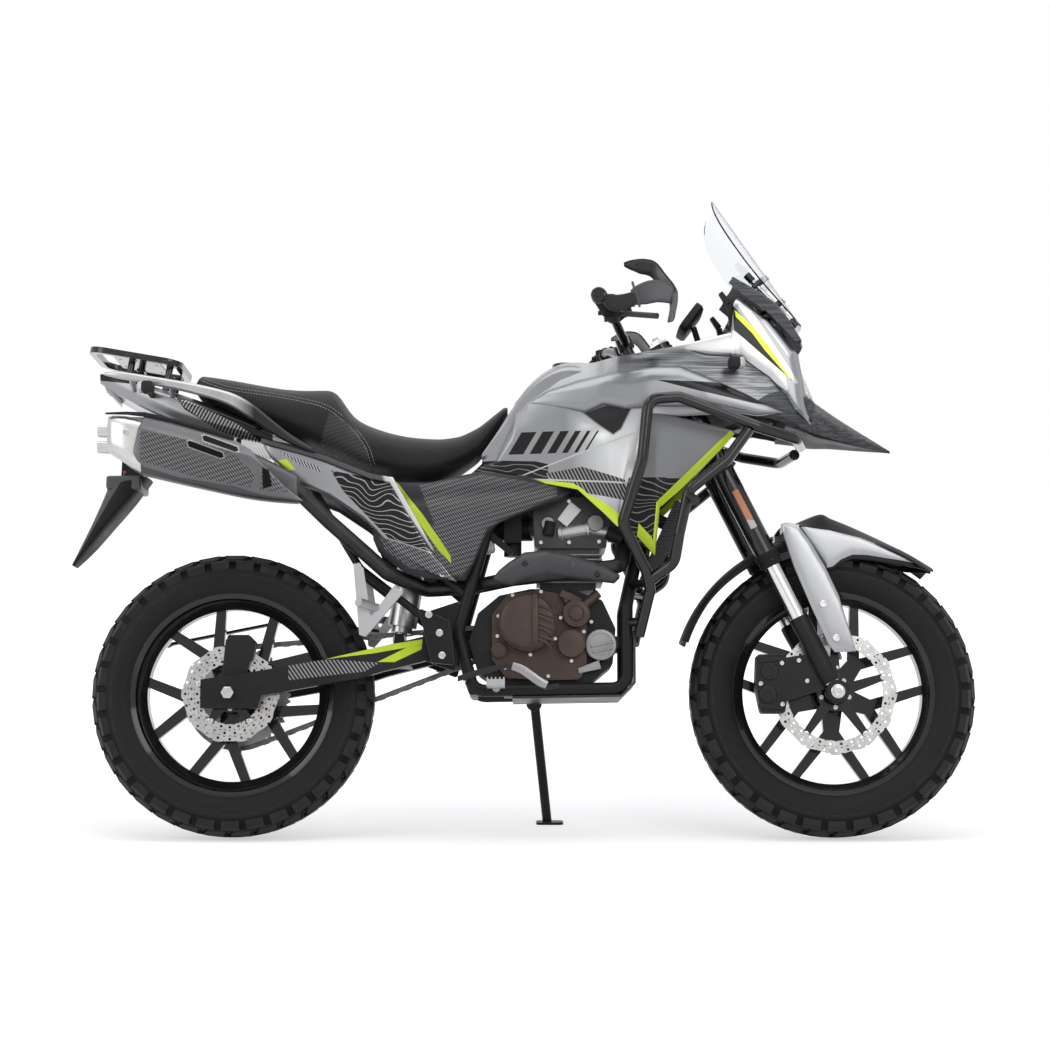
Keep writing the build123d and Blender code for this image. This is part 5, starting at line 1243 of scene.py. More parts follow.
# ---- silencer and its guard ----------------------------------------------------------------------
# A tapered stainless silencer under the tail: a dark can, a bright welded end with two square outlets,
# and a moulded guard outside it with a diamond-cut face, two slots and a fold down its front.
def ring_rows(rows, count=44, power=0.6):
    """Rings of rounded oblongs: (x, y, z low, z high, half width) for each row."""
    t = np.linspace(0, 2 * np.pi, count, endpoint=False)
    a, b = squared(np.cos(t), power), squared(np.sin(t), power)
    rings = []
    for x, y, low, high, half in rows:
        rings.append(np.stack([np.full(count, x), y + half * a, (low + high) / 2 + (high - low) / 2 * b], -1))
    return np.array(rings)


can = ring_rows(through([(-496, -166, 745, 803, 28), (-510, -166, 744, 812, 34),
    (-600, -166, 753, 856, 39.5), (-720, -166, 778, 894, 41), (-846, -166, 807, 932, 41.5)], 40))
can_end = ring_rows(through([(-846, -166, 806, 934, 42), (-866, -166, 818, 937, 42),
    (-890, -166, 836, 940, 40), (-912, -166, 850, 941, 34), (-924, -166, 858, 940, 26)], 24))
outlets = []
for z in (870, 906):
    tube_out = ring_rows([(-900, -166, z - 15, z + 13, 15), (-948, -166, z - 12, z + 13, 15)], 40, 0.4)
    tube_in = ring_rows([(-902, -166, z - 13, z + 11, 13), (-948, -166, z - 10, z + 11, 13)], 40, 0.4)
    outlets.append(shell(tube_out, tube_in))
can_grey = finish("can_grey", (0.09, 0.09, 0.093), 0.42, metal=0.6)
silver_end = finish("silver_end", (0.52, 0.52, 0.51), 0.3, metal=0.9, shade=0.1, lump=40, grain=0.5,
    height=0.03)
strap = [round_bar((-641, -126, 850), (-641, -110, 880), 6),
         round_bar((-641, -110, 880), (-641, -98, 918), 6)]
piece("silencer_can", [capped(can)] + strap, can_grey, sharp=50, stands_for=["muffler"])
piece("silencer_end", [capped(can_end)] + outlets, silver_end, sharp=50)
piece("silencer_screw", screw((-880, -206, 898), (0, -1, 0), 7, 4), bright_steel)


def guard_side(x, z):
    """The guard's face: a flat middle, a chamfer above a fold, and another ahead of a slanted fold."""
    fold = np.interp(x, [-858, -600, -488], [908, 842, 760])
    front = np.clip((x + 585 + (z - 830) * 0.25) / 100.0, 0, 1)
    return 214.5 - 10 * np.clip((z - fold) / 30.0, 0, 1) - 9 * front + 2.0 * np.exp(-((z - fold) / 5.0) ** 2)


def guard_art(tree, place, tone):
    """Diamond-cut lines on the middle, two black slots with pale lips, a black notch and smooth borders."""
    cut = weave(tree, place, (0.045, 0.046, 0.048), (0.23, 0.232, 0.236), 5.0)
    tone = inside(tree, place, tone, cut,
        [(-846, 900), (-700, 872), (-640, 850), (-590, 800), (-600, 772), (-720, 796), (-846, 832)],
        [(-575, 812), (-540, 790), (-515, 762), (-580, 766)])
    smooth = within(tree, place, [(-775, 862), (-706, 890), (-610, 864), (-680, 826)])
    tone = blend_colours(tree, times(tree, smooth, 0.5), tone, (0.12, 0.122, 0.125))
    tone = inside(tree, place, tone, (0.3, 0.3, 0.3),
        [(-744, 878), (-736, 880), (-660, 852), (-657, 838), (-666, 836), (-740, 862)],
        [(-712, 892), (-704, 894), (-628, 867), (-625, 852), (-634, 850), (-708, 876)])
    slots_and_notch = ([(-741, 875), (-735, 877), (-663, 850), (-660, 841), (-667, 838), (-738, 864)],
                       [(-709, 889), (-703, 891), (-631, 864), (-628, 855), (-635, 852), (-706, 878)],
                       [(-575, 818), (-560, 812), (-552, 776), (-572, 770)])
    return inside(tree, place, tone, (0.004, 0.004, 0.004), *slots_and_notch)


guard_paint = finish("guard_paint", (0.15, 0.152, 0.157), 0.38, metal=0.4, shade=0.08, lump=80, grain=0.5,
    height=0.03, art_and_painted_light=guard_art)
guard = panel([(-862, 862), (-853, 905), (-840, 937), (-776, 921), (-698, 900), (-640, 882), (-600, 858),
    (-560, 812), (-524, 776), (-486, 747)], [(-862, 850), (-853, 834), (-838, 820), (-757, 796),
    (-635, 775), (-574, 757), (-532, 750), (-486, 744)], guard_side, crown=2, roll=3, columns=90, rows=40)
piece("silencer_guard", guard, guard_paint, sharp=30, bevel=0.8, stands_for=["muffler_shield"])
seats = [round_bar((x, -205, z), (x, -212, z), 9) for x, z in ((-810, 894), (-604, 839))]
blade = panel([(-929, 945), (-880, 946), (-839, 944), (-776, 930), (-700, 909), (-640, 890)],
              [(-929, 942), (-880, 940), (-839, 934), (-776, 921), (-700, 899), (-640, 880)],
              standing([-929, -839, -640], [196, 206, 207]), crown=1, roll=1, thick=9, columns=40, rows=6)
piece("guard_trim", seats + [blade], plain_black, bevel=0.8)

# ---- tail ----------------------------------------------------------------------------------------
# One moulding round the seat rails' ends in silver lacquer, with louvred black inserts under the grab
# rails. The rails are cast alloy, silver behind and black from their bend forward.
def tail_art(tree, place, tone):
    """Black insert under the grab rail with slanted pale louvres along its lower half."""
    tone = inside(tree, place, tone, BLACK,
        [(-790, 1003), (-760, 1010), (-620, 955), (-560, 905), (-560, 860), (-640, 888), (-760, 962)],
        [(-990, 1080), (-990, 1046), (-930, 1034), (-740, 1002), (-740, 1080)])
    return inside(tree, place, tone, hatch(tree, place, BLACK, (0.32, 0.32, 0.32), 8.5, -0.55),
        [(-776, 984), (-756, 984), (-640, 928), (-575, 880), (-584, 868), (-654, 892), (-758, 965)])


tail_paint = finish("tail_paint", PALE_SILVER, art_and_painted_light=tail_art, **LACQUER)
tail_rows = []
# x, then height and half width of the crown, the widest line and the underside
for x, z3, w3, z2, w2, z1, w1 in ((-964, 1060, 62, 1052, 74, 1034, 64),
        (-925, 1054, 74, 1034, 92, 1008, 80), (-850, 1028, 92, 1002, 118, 968, 100),
        (-765, 1000, 108, 966, 138, 928, 118), (-700, 976, 112, 944, 141, 910, 122),
        (-620, 942, 112, 918, 141, 893, 124), (-560, 914, 112, 896, 140, 880, 124),
        (-503, 893, 110, 884, 138, 872, 124)):
    half = [(0, z3 + 2), (w3 * 0.7, z3 + 1), (w3, z3 - 2), (w2 - 2, (z2 + z3) / 2), (w2, z2),
            (w2 - 3, (z1 + z2) / 2), (w1, z1 + 1), (w1 * 0.6, z1 + 3), (0, z1 + 4)]
    tail_rows.append(mirrored_section(x, half, 34))
piece("tail_moulding", capped(through(tail_rows, 60)), tail_paint, sharp=50, stands_for=["tail_unit"])
dress(pale_lens, "tail_lamp")


def swept(path, half_high, half_wide, count=60, sides=24, power=0.7, level=None):
    """A bar along a path with a rounded oblong section: half_high in the side view, half_wide across."""
    rows = through(np.concatenate([np.array(path, float), np.array(half_high, float)[:, None],
        np.array(half_wide, float)[:, None]], 1), count)
    line = rows[:, :3]
    along = np.gradient(line, axis=0)
    along /= np.linalg.norm(along, axis=1, keepdims=True)
    flat = np.array([0, 1.0, 0]) if level is None else np.array(level, float)
    up = np.cross(along, flat)
    up /= np.linalg.norm(up, axis=1, keepdims=True)
    side = np.cross(up, along)
    t = np.linspace(0, 2 * np.pi, sides, endpoint=False)
    a, b = squared(np.cos(t), power), squared(np.sin(t), power)
    across, upward = (rows[:, 4:5] * a)[..., None], (rows[:, 3:4] * b)[..., None]
    return line[:, None] + side[:, None] * across + up[:, None] * upward


def rail_art(tree, place, tone):
    """Silver behind, fading to black ahead of the bend."""
    split = add(tree, "SeparateXYZ", None, i0=place)
    return blend_colours(tree, spread(tree, split.outputs[0], -650, -600), tone, (0.02, 0.02, 0.021))


rail_paint = finish("rail_paint", (0.42, 0.42, 0.425), 0.32, metal=0.7, shade=0.08, grain=0.5, height=0.02,
    coat=0.3, art_and_painted_light=rail_art)
rail_path = [(-940, -158, 1040), (-905, -160, 1036), (-840, -161, 1025), (-760, -161, 1010),
             (-690, -161, 993), (-645, -161, 977), (-605, -161, 952), (-560, -160, 918), (-520, -156, 892),
             (-480, -150, 872), (-462, -147, 864)]
rail = capped(swept(rail_path, (3, 8, 9.5, 11, 13, 14.5, 15, 13, 10, 7, 3),
    (5, 10, 11, 11, 11, 11, 11, 11, 10, 7, 3), 90, 24, 0.75))
posts = [round_bar((x, -158, z), (x, -inner, low), 6.5, 18)
         for x, z, inner, low in ((-788, 1012, 116, 985), (-879, 1030, 90, 1006), (-592, 938, 132, 914))]
piece("grab_rail_bars", [pair(rail)] + [pair(p) for p in posts], rail_paint, sharp=50,
      stands_for=["grab_rails"])
rack_black = finish("rack_black", (0.016, 0.016, 0.017), 0.22, metal=0.2, shade=0.15, height=0.03, coat=0.6,
    round_edge=3.0, edge_wear_and_highlight=(0.3, 0.3, 0.3))
dress(rack_black, "rear_rack")

# ---- rear mudguard -------------------------------------------------------------------------------
# Black polypropylene on a hanger below the tail, with a grey ridge down its back, a lamp for a bare
# number plate over it and a small red reflector.
def mudguard_art(tree, place, tone):
    """Grey along the back edge, black on the rest."""
    return inside(tree, place, tone, (0.11, 0.112, 0.115),
        [(-960, 808), (-912, 812), (-1004, 650), (-1040, 610), (-1036, 660)])


mudguard_black = finish("mudguard_black", (0.014, 0.014, 0.015), 0.5, shade=0.15, height=0.06,
    art_and_painted_light=mudguard_art)
back = through([(-946, 806), (-962, 760), (-985, 706), (-1010, 655), (-1029, 622)], 40)
front = through([(-852, 822), (-894, 766), (-940, 712), (-985, 658), (-1022, 618)], 40)
wide = through([[60], [64], [60], [48], [26]], 40)[:, 0]
t = np.linspace(0, 2 * np.pi, 40, endpoint=False)
a, b = squared(np.cos(t), 0.5), squared(np.sin(t), 0.7)
middle, reach = (back + front) / 2, (front - back) / 2
grid = np.stack([middle[:, :1] + reach[:, :1] * b, wide[:, None] * a, middle[:, 1:] + reach[:, 1:] * b], -1)
hanger = [bar_between((-886, 962), (-893, 815), 26, 24, -42, 42),
          bar_between((-900, 836), (-870, 812), 20, 14, -56, 56)]
piece("mudguard_blade", [capped(grid)] + hanger, mudguard_black, sharp=40, bevel=2.5,
      stands_for=["rear_mudguard"])
lamp_box = bar_between((-948, 808), (-868, 808), 15, 17, -60, 60)
piece("plate_lamp", lamp_box, frame_grey, bevel=5)
reflector = bar_between((-909, 836), (-905, 812), 3.5, 3.5, -46, -42)
red = finish("reflector_red", (0.35, 0.012, 0.012), 0.15, shade=0.1, lump=5, grain=0.5, height=0.0, coat=1.0)
piece("rear_reflector", [reflector, bar_between((-951, 812), (-948, 790), 2.5, 2.5, -24, 24)], red,
      bevel=0.8)

# ---- engine --------------------------------------------------------------------------------------
# Liquid-cooled single: cast alloy cases in black, a bronze-painted clutch side with a ribbed dome, and a
# plain cast barrel and head. Socket screws hold the covers.
bronze = finish("bronze", (0.078, 0.056, 0.046), 0.42, metal=0.35, shade=0.1, lump=50, grain=0.7,
    height=0.06, round_edge=2.5, edge_wear_and_highlight=(0.35, 0.27, 0.22))
cast_bright = finish("cast_bright", (0.45, 0.45, 0.44), 0.38, metal=0.8, shade=0.1, grain=1.0, round_edge=1.0)
cast = finish("cast", (0.24, 0.24, 0.238), 0.42, metal=0.85, shade=0.16, grain=1.4, height=0.12,
              round_edge=1.5)
case_black = finish("case_black", (0.022, 0.022, 0.023), 0.42, metal=0.3, shade=0.14, grain=1.3,
    height=0.08, round_edge=1.5, edge_wear_and_highlight=(0.3, 0.3, 0.3))
dress(case_black, "engine_case")
dress(bronze, "clutch_cover")
head_dark = finish("head_dark", (0.055, 0.055, 0.056), 0.4, metal=0.6, shade=0.2, grain=1.4, height=0.12,
    round_edge=1.5, edge_wear_and_highlight=(0.35, 0.35, 0.35))
dress(head_dark, "cylinder_head")


def turned_rows(x, z, rows, sides=56):
    """Rings about an axle across the machine: (place across, radius) for each row."""
    return capped(np.array([turned((x, z), y, r, np.linspace(0, 2 * np.pi, sides, endpoint=False))
        for y, r in rows]))


dome = turned_rows(14, 482, [(-103, 66), (-120, 66), (-133, 65), (-139, 62), (-142.5, 56), (-143.5, 40),
    (-143.8, 1)])
pump = [turned_rows(123, 501, [(-104, 31), (-122, 30), (-128, 27), (-130, 18), (-134, 16), (-138, 14),
    (-139, 8), (-139.2, 1)]), turned_rows(112, 434,
    [(-104, 31), (-124, 31), (-129, 29), (-130.5, 24), (-131, 1)]),
        turned_rows(-50, 420, [(-104, 18), (-111, 18), (-113, 16), (-113.3, 1)])]
spine = swept([(30, -138, 546), (31, -145, 530), (31, -147, 484), (31, -145, 440), (30, -138, 424)],
              (6, 7, 7, 7, 6), (4, 5, 5, 5, 4), 30, 16, 0.5, level=(0, 1, 0))
slats = [swept([(35, -143, 522 - 26 * k), (56, -144, 512 - 26 * k), (76 - 3 * k, -137, 500 - 26 * k)],
    (3.4, 3.0, 2.4), (5, 5, 4), 14, 12, 0.5) for k in range(4)]
pipe_neck = [round_bar((140, -118, 520), (172, -112, 548), 11, 24),
             round_bar((104, -116, 525), (92, -106, 548), 8, 20),
             bar_between((88, 548), (132, 528), 8, 7, -124, -104)]
piece("clutch_dome", [dome, capped(spine)] + [capped(s) for s in slats] + pump + pipe_neck, bronze,
      sharp=40)
bolts = [screw((x, y, z), (0, -1, 0), 4.6, 4.2) for x, y, z in ((-52, -104, 497), (88, -106, 493),
    (150, -106, 528), (157, -104, 484), (140, -104, 462), (76, -106, 446), (112, -106, 396),
    (60, -104, 362), (132, -104, 372), (-36, -104, 380), (-54, -104, 452), (20, -104, 410),
    (110, -104, 544), (44, -104, 552), (-20, -104, 544))]
piece("cover_bolts", bolts, bright_steel)
alternator = [turned_rows(178, 432, [(-104, 36), (-110, 36), (-113.5, 34), (-114.5, 27), (-113.0, 25),
    (-113.0, 1)]), bar_between((160, 415), (204, 425), 2.2, 2.2, -117, -111),
              bar_between((156, 428), (206, 438), 2.2, 2.2, -117, -111),
              bar_between((128, 374), (176, 388), 6, 10, -110, -96)]
piece("side_cap", alternator, cast, bevel=0.8)

fins = [bar_between((34, z), (184, z), 1.6, 1.6, -61, 61) for z in 578 + 10.5 * np.arange(7)]
cam = [turned_rows(168, 712, [(-66, 20), (-72, 20), (-75, 18), (-75.5, 1)]),
       turned_rows(60, 712, [(-66, 16), (-71, 16), (-73, 14), (-73.2, 1)])]
studs = side_screws(-67, ((44, 668), (108, 668), (176, 670), (44, 752), (108, 762), (172, 752)), 5, 5)
piece("barrel_fins", fins + cam, cast, bevel=0.6)
piece("head_bolts", studs, bright_steel)
throttle = [round_bar((22, 0, 706), (60, -30, 706), 24, 30),
            round_bar((92, -52, 690), (150, -58, 700), 19, 30),
            round_bar((150, -58, 700), (196, -60, 692), 14, 26),
            round_bar((88, -52, 690), (96, -54, 691), 23, 30),
            round_bar((146, -58, 699), (153, -58, 700), 22, 30),
            bar_between((92, 712), (124, 752), 14, 16, -72, -48)]
throttle += [round_bar((x, -56, z), (x + 2, -62, z + 20), 4.5, 16)
             for x, z in ((118, 706), (136, 712), (166, 704))]
piece("throttle_body", throttle, cast_bright, bevel=0.8)
dark_parts = [round_bar((196, -60, 692), (232, -66, 676), 17, 26),
              bar_between((20, 752), (100, 700), 20, 24, -60, -40),
              round_bar((60, -70, 684), (66, -70, 716), 13, 24),
              bar_between((-92, 700), (-20, 640), 9, 7, -96, -84)]
piece("intake_parts", dark_parts, plain_black, bevel=1.5)
reservoir = bar_between((-92, 704), (-84, 640), 24, 26, -92, -62)
tank_white = finish("tank_white", (0.55, 0.55, 0.53), 0.4, shade=0.05, lump=40, grain=0.5, height=0.03,
    coat=0.2)
piece("coolant_bottle", reservoir, tank_white, bevel=7)

# ---- exhaust pipe and heat shield ----------------------------------------------------------------
# Stainless header, heat-darkened, round the right of the engine. A pressed grey shield stands off it on
# two screws, with a seam down its middle.
pipe_black = finish("pipe_black", (0.035, 0.033, 0.032), 0.4, metal=0.7, shade=0.25, lump=30, grain=1.0,
    height=0.06, edge_wear_and_highlight=(0.2, 0.17, 0.14))
dress(pipe_black, "exhaust_pipe")
shield_top = [(-61, 582), (-50, 596), (-28, 614), (6, 636), (57, 641), (115, 630), (190, 606), (219, 586)]
shield_low = [(-61, 572), (-50, 565), (-21, 561), (10, 575), (57, 584), (139, 574), (207, 566), (219, 578)]


def shield_side(x, z):
    """Rolled over the pipe's top and bottom, with a raised seam."""
    low, high = np.interp(x, *np.array(shield_low, float).T), np.interp(x, *np.array(shield_top, float).T)
    v = (z - low) / np.maximum(high - low, 1) * 2 - 1
    return 160 - 9 * np.abs(v) ** 2.6 + 1.6 * np.exp(-((x - 112 + (z - 600) * 0.15) / 3.0) ** 2)


shield_grey = finish("shield_grey", (0.07, 0.071, 0.074), 0.45, metal=0.3, shade=0.08)
pipe_shield = panel(shield_top, shield_low, shield_side, roll=3, thick=2.5, columns=80, rows=26)
piece("pipe_shield", pipe_shield, shield_grey, sharp=50, stands_for=["heat_shield"])
shield_screws = []
for x, z in ((8, 611), (169, 588)):
    shield_screws += [screw((x, -163.5, z), (0, -1, 0), 6, 2.5), round_bar((x, -163, z), (x, -140, z - 8), 8)]
piece("shield_screws", shield_screws, gloss_black)

# ---- chassis parts -------------------------------------------------------------------------------
# Steel skid plate, coil-over shock, chain and sprocket, radiator with pressed tanks, cast pegs and
# pedals: each in its own metal or coat.
spring_steel = finish("steel_spring", (0.42, 0.42, 0.42), 0.3, metal=0.9, shade=0.1, grain=0.5, height=0.03,
    round_edge=0.8)
dress(spring_steel, "rear_shock", "rear_sprocket")


def links(tree, place):
    """Oil darkens the chain in patches."""
    return times(tree, noise(tree, place, 2.0), 0.1)


chain_steel = finish("chain_steel", (0.16, 0.155, 0.15), 0.35, metal=0.9, shade=0.3, lump=14, grain=0.6,
    pattern=links)
dress(chain_steel, "chain")
plate_steel = finish("plate_steel", (0.045, 0.046, 0.048), 0.38, metal=0.5, grain=1.0, round_edge=1.5,
    edge_wear_and_highlight=(0.4, 0.4, 0.4))
dress(plate_steel, "skid_plate")
core = finish("radiator_core", (0.05, 0.05, 0.052), 0.45, metal=0.5, shade=0.1, height=0.04, round_edge=1.0,
              pattern=lambda tree, place: times(tree, calc(tree, "SINE",
    times(tree, add(tree, "SeparateXYZ", None, i0=place).outputs[2], 2 * math.pi / 6)), 0.8))
dress(core, "radiator")
moulded_black = finish("moulded_black", (0.02, 0.02, 0.021), 0.55, shade=0.15, grain=0.6, height=0.06,
                       round_edge=1.2)
dress(moulded_black, "carburettor")
dress(gloss_black, "crash_bars")
peg_steel = finish("peg_steel", (0.30, 0.30, 0.30), 0.35, metal=0.9, height=0.06, round_edge=1.2)


def foot_art(tree, place, tone):
    """The passenger's hangers and the rider's pegs are bare alloy, and the heel plates black."""
    tone = inside(tree, place, tone, (0.46, 0.46, 0.47),
        [(-500, 640), (-254, 640), (-254, 420), (-500, 420)])
    return inside(tree, place, tone, (0.42, 0.42, 0.42), [(-110, 372), (20, 372), (20, 300), (-110, 300)])


pegs = finish("pegs", (0.02, 0.02, 0.021), 0.33, metal=0.75, height=0.06, round_edge=1.5,
              edge_wear_and_highlight=(0.4, 0.4, 0.4), art_and_painted_light=foot_art)
dress(pegs, "footpegs")
dress(gloss_black, "foot_controls")
pad = swept([(-20, -201, 378), (0, -201, 371), (20, -202, 358), (40, -202, 344), (56, -201, 336)],
            (9, 10, 10, 10, 9), (4, 5, 5, 5, 4), 24, 16, 0.6)
piece("pedal_pad", capped(pad), peg_steel, sharp=50)
heel_bolts = side_screws(-152, ((-182, 455), (-176, 405), (-206, 496)), 8, 4)
piece("heel_plate_bolts", heel_bolts, bright_steel)
teeth = [round_bar((-74 + 9 * k, y, 345), (-74 + 9 * k, y, 351), 2.6, 10, radius_end=1.4) for k in range(5)
         for y in (-244, -228, -212, -196, -180, -164, -148)]
piece("peg_teeth", pair(joined(teeth)), peg_steel)


def arm_art(tree, place, tone):
    """A long lime taper along the top, a short one below its front, and thin slanting lines behind."""
    lines = hatch(tree, place, BLACK, (0.28, 0.285, 0.29), 9.0, 0.7)
    tone = inside(tree, place, tone, lines,
        [(-520, 392), (-420, 398), (-318, 392), (-350, 372), (-520, 352)])
    return inside(tree, place, tone, LIME,
        [(-443, 398), (-332, 428), (-200, 449), (-200, 438), (-332, 413)],
        [(-322, 394), (-256, 428), (-214, 434), (-222, 424), (-285, 394)])


arm_black = finish("arm_black", (0.02, 0.02, 0.021), 0.36, metal=0.3, height=0.04, round_edge=2.5,
    art_and_painted_light=arm_art)
dress(arm_black, "swingarm")
axle_nuts = [turned_rows(*REAR_AXLE, [(-132, 15), (-138, 15), (-140, 12), (-140.3, 1)], 6),
             turned_rows(-178, 430, [(-119, 15), (-126, 15), (-128, 12), (-128.3, 1)], 6)]
piece("pivot_nuts", axle_nuts, bright_steel, bevel=0.8)

# ---- handlebar -----------------------------------------------------------------------------------
# Tapered steel bar in black on two risers, with ribbed rubber grips, switch boxes, forged levers and
# slotted weights at its ends. A moulded guard wraps each hand from the bar's end forward.
def lathe(start, end, rows, sides=32):
    """Rings round a line: (share of its length, radius) for each row."""
    start, end = np.array(start, float), np.array(end, float)
    along = (end - start) / np.linalg.norm(end - start)
    ring = circle_about(along, off_axis(along), sides)
    return capped(np.array([start + (end - start) * s + ring * r for s, r in rows]))


half_bar = [(168, -420, 1158), (179, -350, 1158.5), (190, -285, 1159), (201, -215, 1160), (210, -178, 1158),
            (226, -118, 1141), (236, -84, 1131), (238, -50, 1130)]
bar_path = half_bar + [(238, 0, 1130)] + [(x, -y, z) for x, y, z in half_bar[::-1]]
bar = capped(swept(bar_path, [10.5] * 17, [10.5] * 17, 120, 24, 1.0))
risers = []
for s in (-40, 40):
    risers += [round_bar((262.4, s, 1078.2), (238, s, 1128), 14),
        bar_between((221, 1124), (255, 1138), 15, 15, s - 13, s + 13)]
piece("handlebar_tube", [bar] + risers, gloss_black, "steering", sharp=40, bevel=2.0,
      stands_for=["handlebar"])

ribs = [(0, 13), (0.005, 17.5), (0.035, 18)] + [(0.05 + 0.0185 * k + d, r) for k in range(48)
    for d, r in ((0, 16.2), (0.008, 16.2), (0.0095, 15.4), (0.0175, 15.4))] + [(0.96, 16.2), (0.97, 18),
    (0.995, 18), (1.0, 12)]
grip = lathe((190, -286, 1159), (168, -421, 1158), ribs, 36)
end_weight = lathe((168, -421, 1158), (165, -441, 1158),
    [(0, 12), (0.02, 17), (0.7, 17.5), (0.95, 15.5), (1.0, 13), (0.9, 11), (0.9, 6), (1.0, 5.5),
     (1.0, 0.5)], 36)
slots = [bar_between((165 + 13.2 * math.cos(q) - 2, 1158 + 13.2 * math.sin(q)),
    (165 + 13.2 * math.cos(q) + 2, 1158 + 13.2 * math.sin(q)), 1.6, 1.6, -442, -436)
         for q in np.radians(np.arange(0, 360, 45))]
grip_rubber = finish("grip_rubber", (0.012, 0.012, 0.013), 0.65, shade=0.2, grain=0.7, height=0.08)
piece("hand_grips", pair(joined([grip])), grip_rubber, "steering", sharp=50)
piece("bar_weights", [pair(end_weight), pair(joined(slots))], gloss_black, "steering", sharp=40, bevel=0.5)

lever = capped(swept([(214, -226, 1168), (226, -258, 1169), (238, -304, 1164), (244, -346, 1156),
    (243, -378, 1149), (238, -399, 1146)], (8, 6, 5, 4.6, 4.4, 5.5), (6, 5, 4.5, 4.5, 4.5, 5.5), 60, 20, 0.8))
perch = [lathe((205, -212, 1160), (203, -236, 1160), [(0, 16), (0.05, 17.5), (0.95, 17.5), (1, 16)], 28),
         bar_between((205, 1164), (232, 1174), 9, 7, -238, -214),
         round_bar((216, -226, 1158), (216, -226, 1182), 5)]
boxes = bar_between((182, 1158), (214, 1162), 19, 17, -284, -244)
buttons = [round_bar((190, -262, 1174), (188, -262, 1181), 5.5, 18),
           bar_between((196, 1176), (206, 1178), 3.5, 3.5, -278, -252),
           round_bar((178, -254, 1158), (170, -254, 1158), 5, 18)]
brake_tank = [bar_between((222, 1172), (246, 1180), 9, 9, -206, -168),
              bar_between((222, 1188), (246, 1196), 7, 7, -212, -162),
              round_bar((216, -196, 1160), (234, -190, 1176), 10)]
piece("lever_blades", pair(lever), bright_steel, "steering", sharp=50)
piece("switch_boxes", [pair(joined(perch + [boxes] + buttons))] + brake_tank, plain_black, "steering",
      bevel=1.6)

guard_line = through([(222, 1238), (236, 1241), (262, 1241), (294, 1234), (316, 1207), (336, 1180),
    (340, 1160), (333, 1121)], 50)
across = np.linspace(0, 1, 37)
bulge = 6 * (2 * across - 1) ** 2
shrink = 1 - 0.05 * np.clip((across - 0.7) / 0.3, 0, 1) ** 2 - 0.04 * np.clip(1 - across / 0.2, 0, 1) ** 2
narrow = np.interp(np.linspace(0, 1, 50), [0, 0.3, 0.8, 1], [0.12, 0.85, 1, 0.8])[None]
grid = np.stack([(262 + (guard_line[None, :, 0] - 262) * shrink[:, None]) - bulge[:, None]
    * np.clip((guard_line[None, :, 0] - 222) / 80, 0.2, 1),
    -436 + 40 * (1 - narrow) + 146 * across[:, None] * narrow,
    1180 + (guard_line[None, :, 1] - 1180) * shrink[:, None]], -1)
slope = np.gradient(guard_line, axis=0)
slope /= np.linalg.norm(slope, axis=1, keepdims=True)
inward = np.stack([slope[:, 1], 0 * slope[:, 0], -slope[:, 0]], -1)


def hand_guard_art(tree, place, tone):
    """A paler flap in front, below a fold."""
    return inside(tree, place, tone, (0.16, 0.162, 0.166),
        [(296, 1158), (345, 1166), (345, 1110), (296, 1110)], soft=4.0)


guard_black = finish("guard_black", (0.028, 0.028, 0.03), 0.4, lump=40, grain=0.6, art_and_painted_light=hand_guard_art)
hand_guard = shell(grid, grid + inward[None] * 3.6)
side_plate = swept([(180, -434, 1150), (190, -435, 1145), (203, -435, 1140), (222, -435, 1143),
    (246, -435, 1152)], (11, 16, 18, 17, 14), (6, 6.5, 6.5, 6.5, 6), 40, 28, 0.6)
piece("hand_guards", [pair(hand_guard), pair(capped(side_plate))], guard_black, "steering", sharp=40,
      bevel=0.8)
clamp_block = capped(swept([(240, -433, 1152), (262, -434, 1160), (290, -433, 1166), (322, -430, 1158)],
    (17, 23, 24, 18), (7, 8, 8, 6), 24, 28, 0.35))
bracket_grey = finish("bracket_grey", (0.085, 0.086, 0.09), 0.38, metal=0.3, shade=0.1, grain=0.6,
    height=0.04, round_edge=1.5)
stays = [round_bar((202, -250, 1160), (300, -306, 1140), 6.5),
         bar_between((238, 1186), (254, 1132), 2.2, 2.2, -442, -428)]
piece("guard_brackets", [pair(clamp_block), pair(joined(stays))], bracket_grey, "steering", sharp=40,
      bevel=0.8)

# ---- fork ----------------------------------------------------------------------------------------
# Telescopic fork: gloss black outer tubes in forged clamps, hard-chromed sliders under rubber dust
# seals, and dark cast feet that hold the axle. A reflector is stuck to each outer tube.
dress(gloss_black, "fork_yokes")
chrome = finish("chrome", (0.62, 0.62, 0.62), 0.16, metal=1.0, shade=0.06, lump=30, grain=0.5, height=0.008)
dress(chrome, "fork_legs")


RAKE = math.radians(26.5)
HEAD_X, HEAD_Z = 338.43, 975


def on_fork(height, forward=40.0, side=-98.0):
    """A point by its height on the steering axis and its distance ahead of it, square to it."""
    return np.array([HEAD_X - (height - HEAD_Z) * math.tan(RAKE) + forward * math.cos(RAKE), side,
                     height + forward * math.sin(RAKE)])


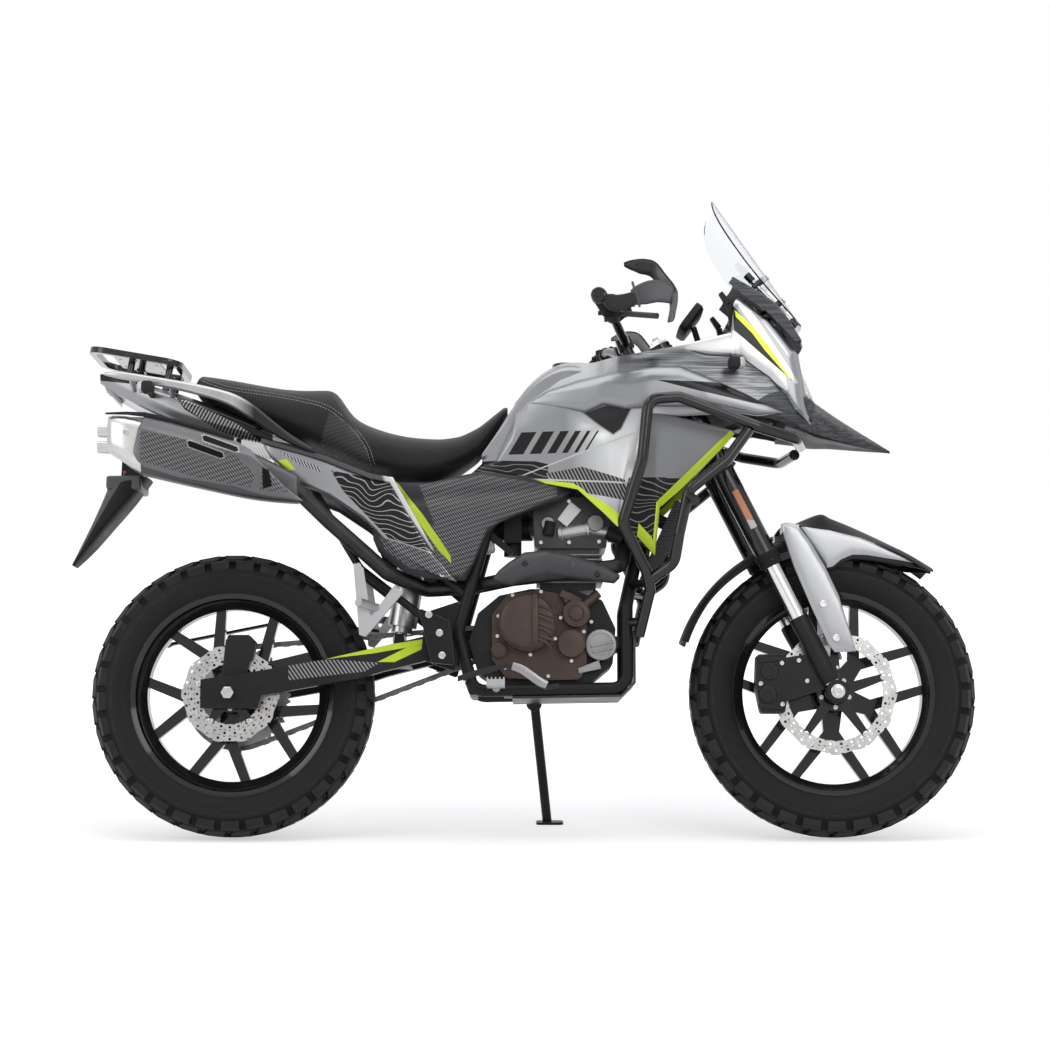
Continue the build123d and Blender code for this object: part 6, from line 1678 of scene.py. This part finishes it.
feet = [lathe(on_fork(332), on_fork(478), [(0, 19), (0.04, 21.5), (0.3, 22), (0.72, 21), (0.86, 22),
    (0.97, 22), (1, 19)], 36), lathe((FRONT_AXLE[0], -77, FRONT_AXLE[1]),
    (FRONT_AXLE[0], -119, FRONT_AXLE[1]), [(0, 22), (0.05, 26), (0.92, 26.5), (1, 24)], 36),
        bar_between(tuple(on_fork(352, 24)[[0, 2]]), tuple(on_fork(352, 60)[[0, 2]]), 12, 12, -112, -84)]
seals = [lathe(on_fork(592), on_fork(622), [(0, 20), (0.06, 25.5), (0.35, 26.5), (0.42, 24.5), (0.5, 27.5),
    (0.95, 27.5), (1, 25)], 36), lathe(on_fork(806), on_fork(812),
    [(0, 25), (0.2, 26.5), (0.8, 26.5), (1, 25)], 36)]
caps = [lathe(on_fork(1097), on_fork(1110), [(0, 24), (0.5, 23), (0.55, 15), (0.95, 14), (1, 12)], 6),
        lathe(on_fork(1110), on_fork(1116), [(0, 7), (1, 6.5)], 16)]
piece("fork_feet", pair(joined(feet)), case_black, "steering", sharp=40, bevel=1.5)
piece("fork_seals", pair(joined(seals)), grip_rubber, "steering", sharp=40)
piece("fork_caps", pair(joined(caps)), bright_steel, "steering", sharp=30, bevel=0.6)
nut = [turned_rows(*FRONT_AXLE, [(-119, 16), (-124, 16), (-126, 13), (-126.4, 8), (-122, 7), (-122, 0.5)],
    36)]
pinch = [screw(on_fork(352, 58, -92) + np.array([5, 0, 3]), (0.89, 0, 0.45), 5, 4),
         screw(on_fork(352, 58, -106) + np.array([5, 0, 3]), (0.89, 0, 0.45), 5, 4)]
piece("axle_ends", pair(joined(nut + pinch)), bright_steel, "steering", bevel=0.6)


def reflector_art(tree, place, tone):
    """Amber above, white below."""
    return inside(tree, place, tone, (0.5, 0.49, 0.47), [(490, 712), (580, 712), (580, 640), (490, 640)])


amber = finish("amber", (0.52, 0.13, 0.012), 0.18, shade=0.08, lump=4, grain=0.5, height=0.0, coat=0.8,
    art_and_painted_light=reflector_art, pattern=lambda tree, place: times(tree,
    add(tree, "TexVoronoi", None, Vector=place, Scale=0.4).outputs[0], 0.2))
a, b = on_fork(762), on_fork(676)
piece("fork_reflectors", pair(bar_between((a[0], a[2]), (b[0], b[2]), 8, 8, -126.5, -122.5)), amber,
      "steering", bevel=1.2)

# ---- brake calipers ------------------------------------------------------------------------------
# Two-piston sliding calipers, cast and painted black, on brackets bolted to the fork and the swingarm.
# Both cups and the bright pins show on the front one's outer face.
dress(case_black, "front_caliper", "rear_caliper")
cup_rows = [(-95, 20), (-99, 20), (-101, 17.5), (-101.4, 9), (-100, 8), (-100, 1)]
cups = [turned_rows(x, z, cup_rows, 36) for x, z in ((556, 374), (552, 322))]
pins = side_screws(-96, ((584, 392), (584, 300), (622, 398), (640, 352), (536, 346)), 5.5, 5)
piece("front_caliper_cups", cups + [bar_between((532, 398), (590, 402), 5, 4, -100, -94),
    bar_between((530, 296), (584, 292), 5, 4, -100, -94)], case_black, "steering", bevel=1.2)
piece("front_caliper_pins", pins, bright_steel, "steering")
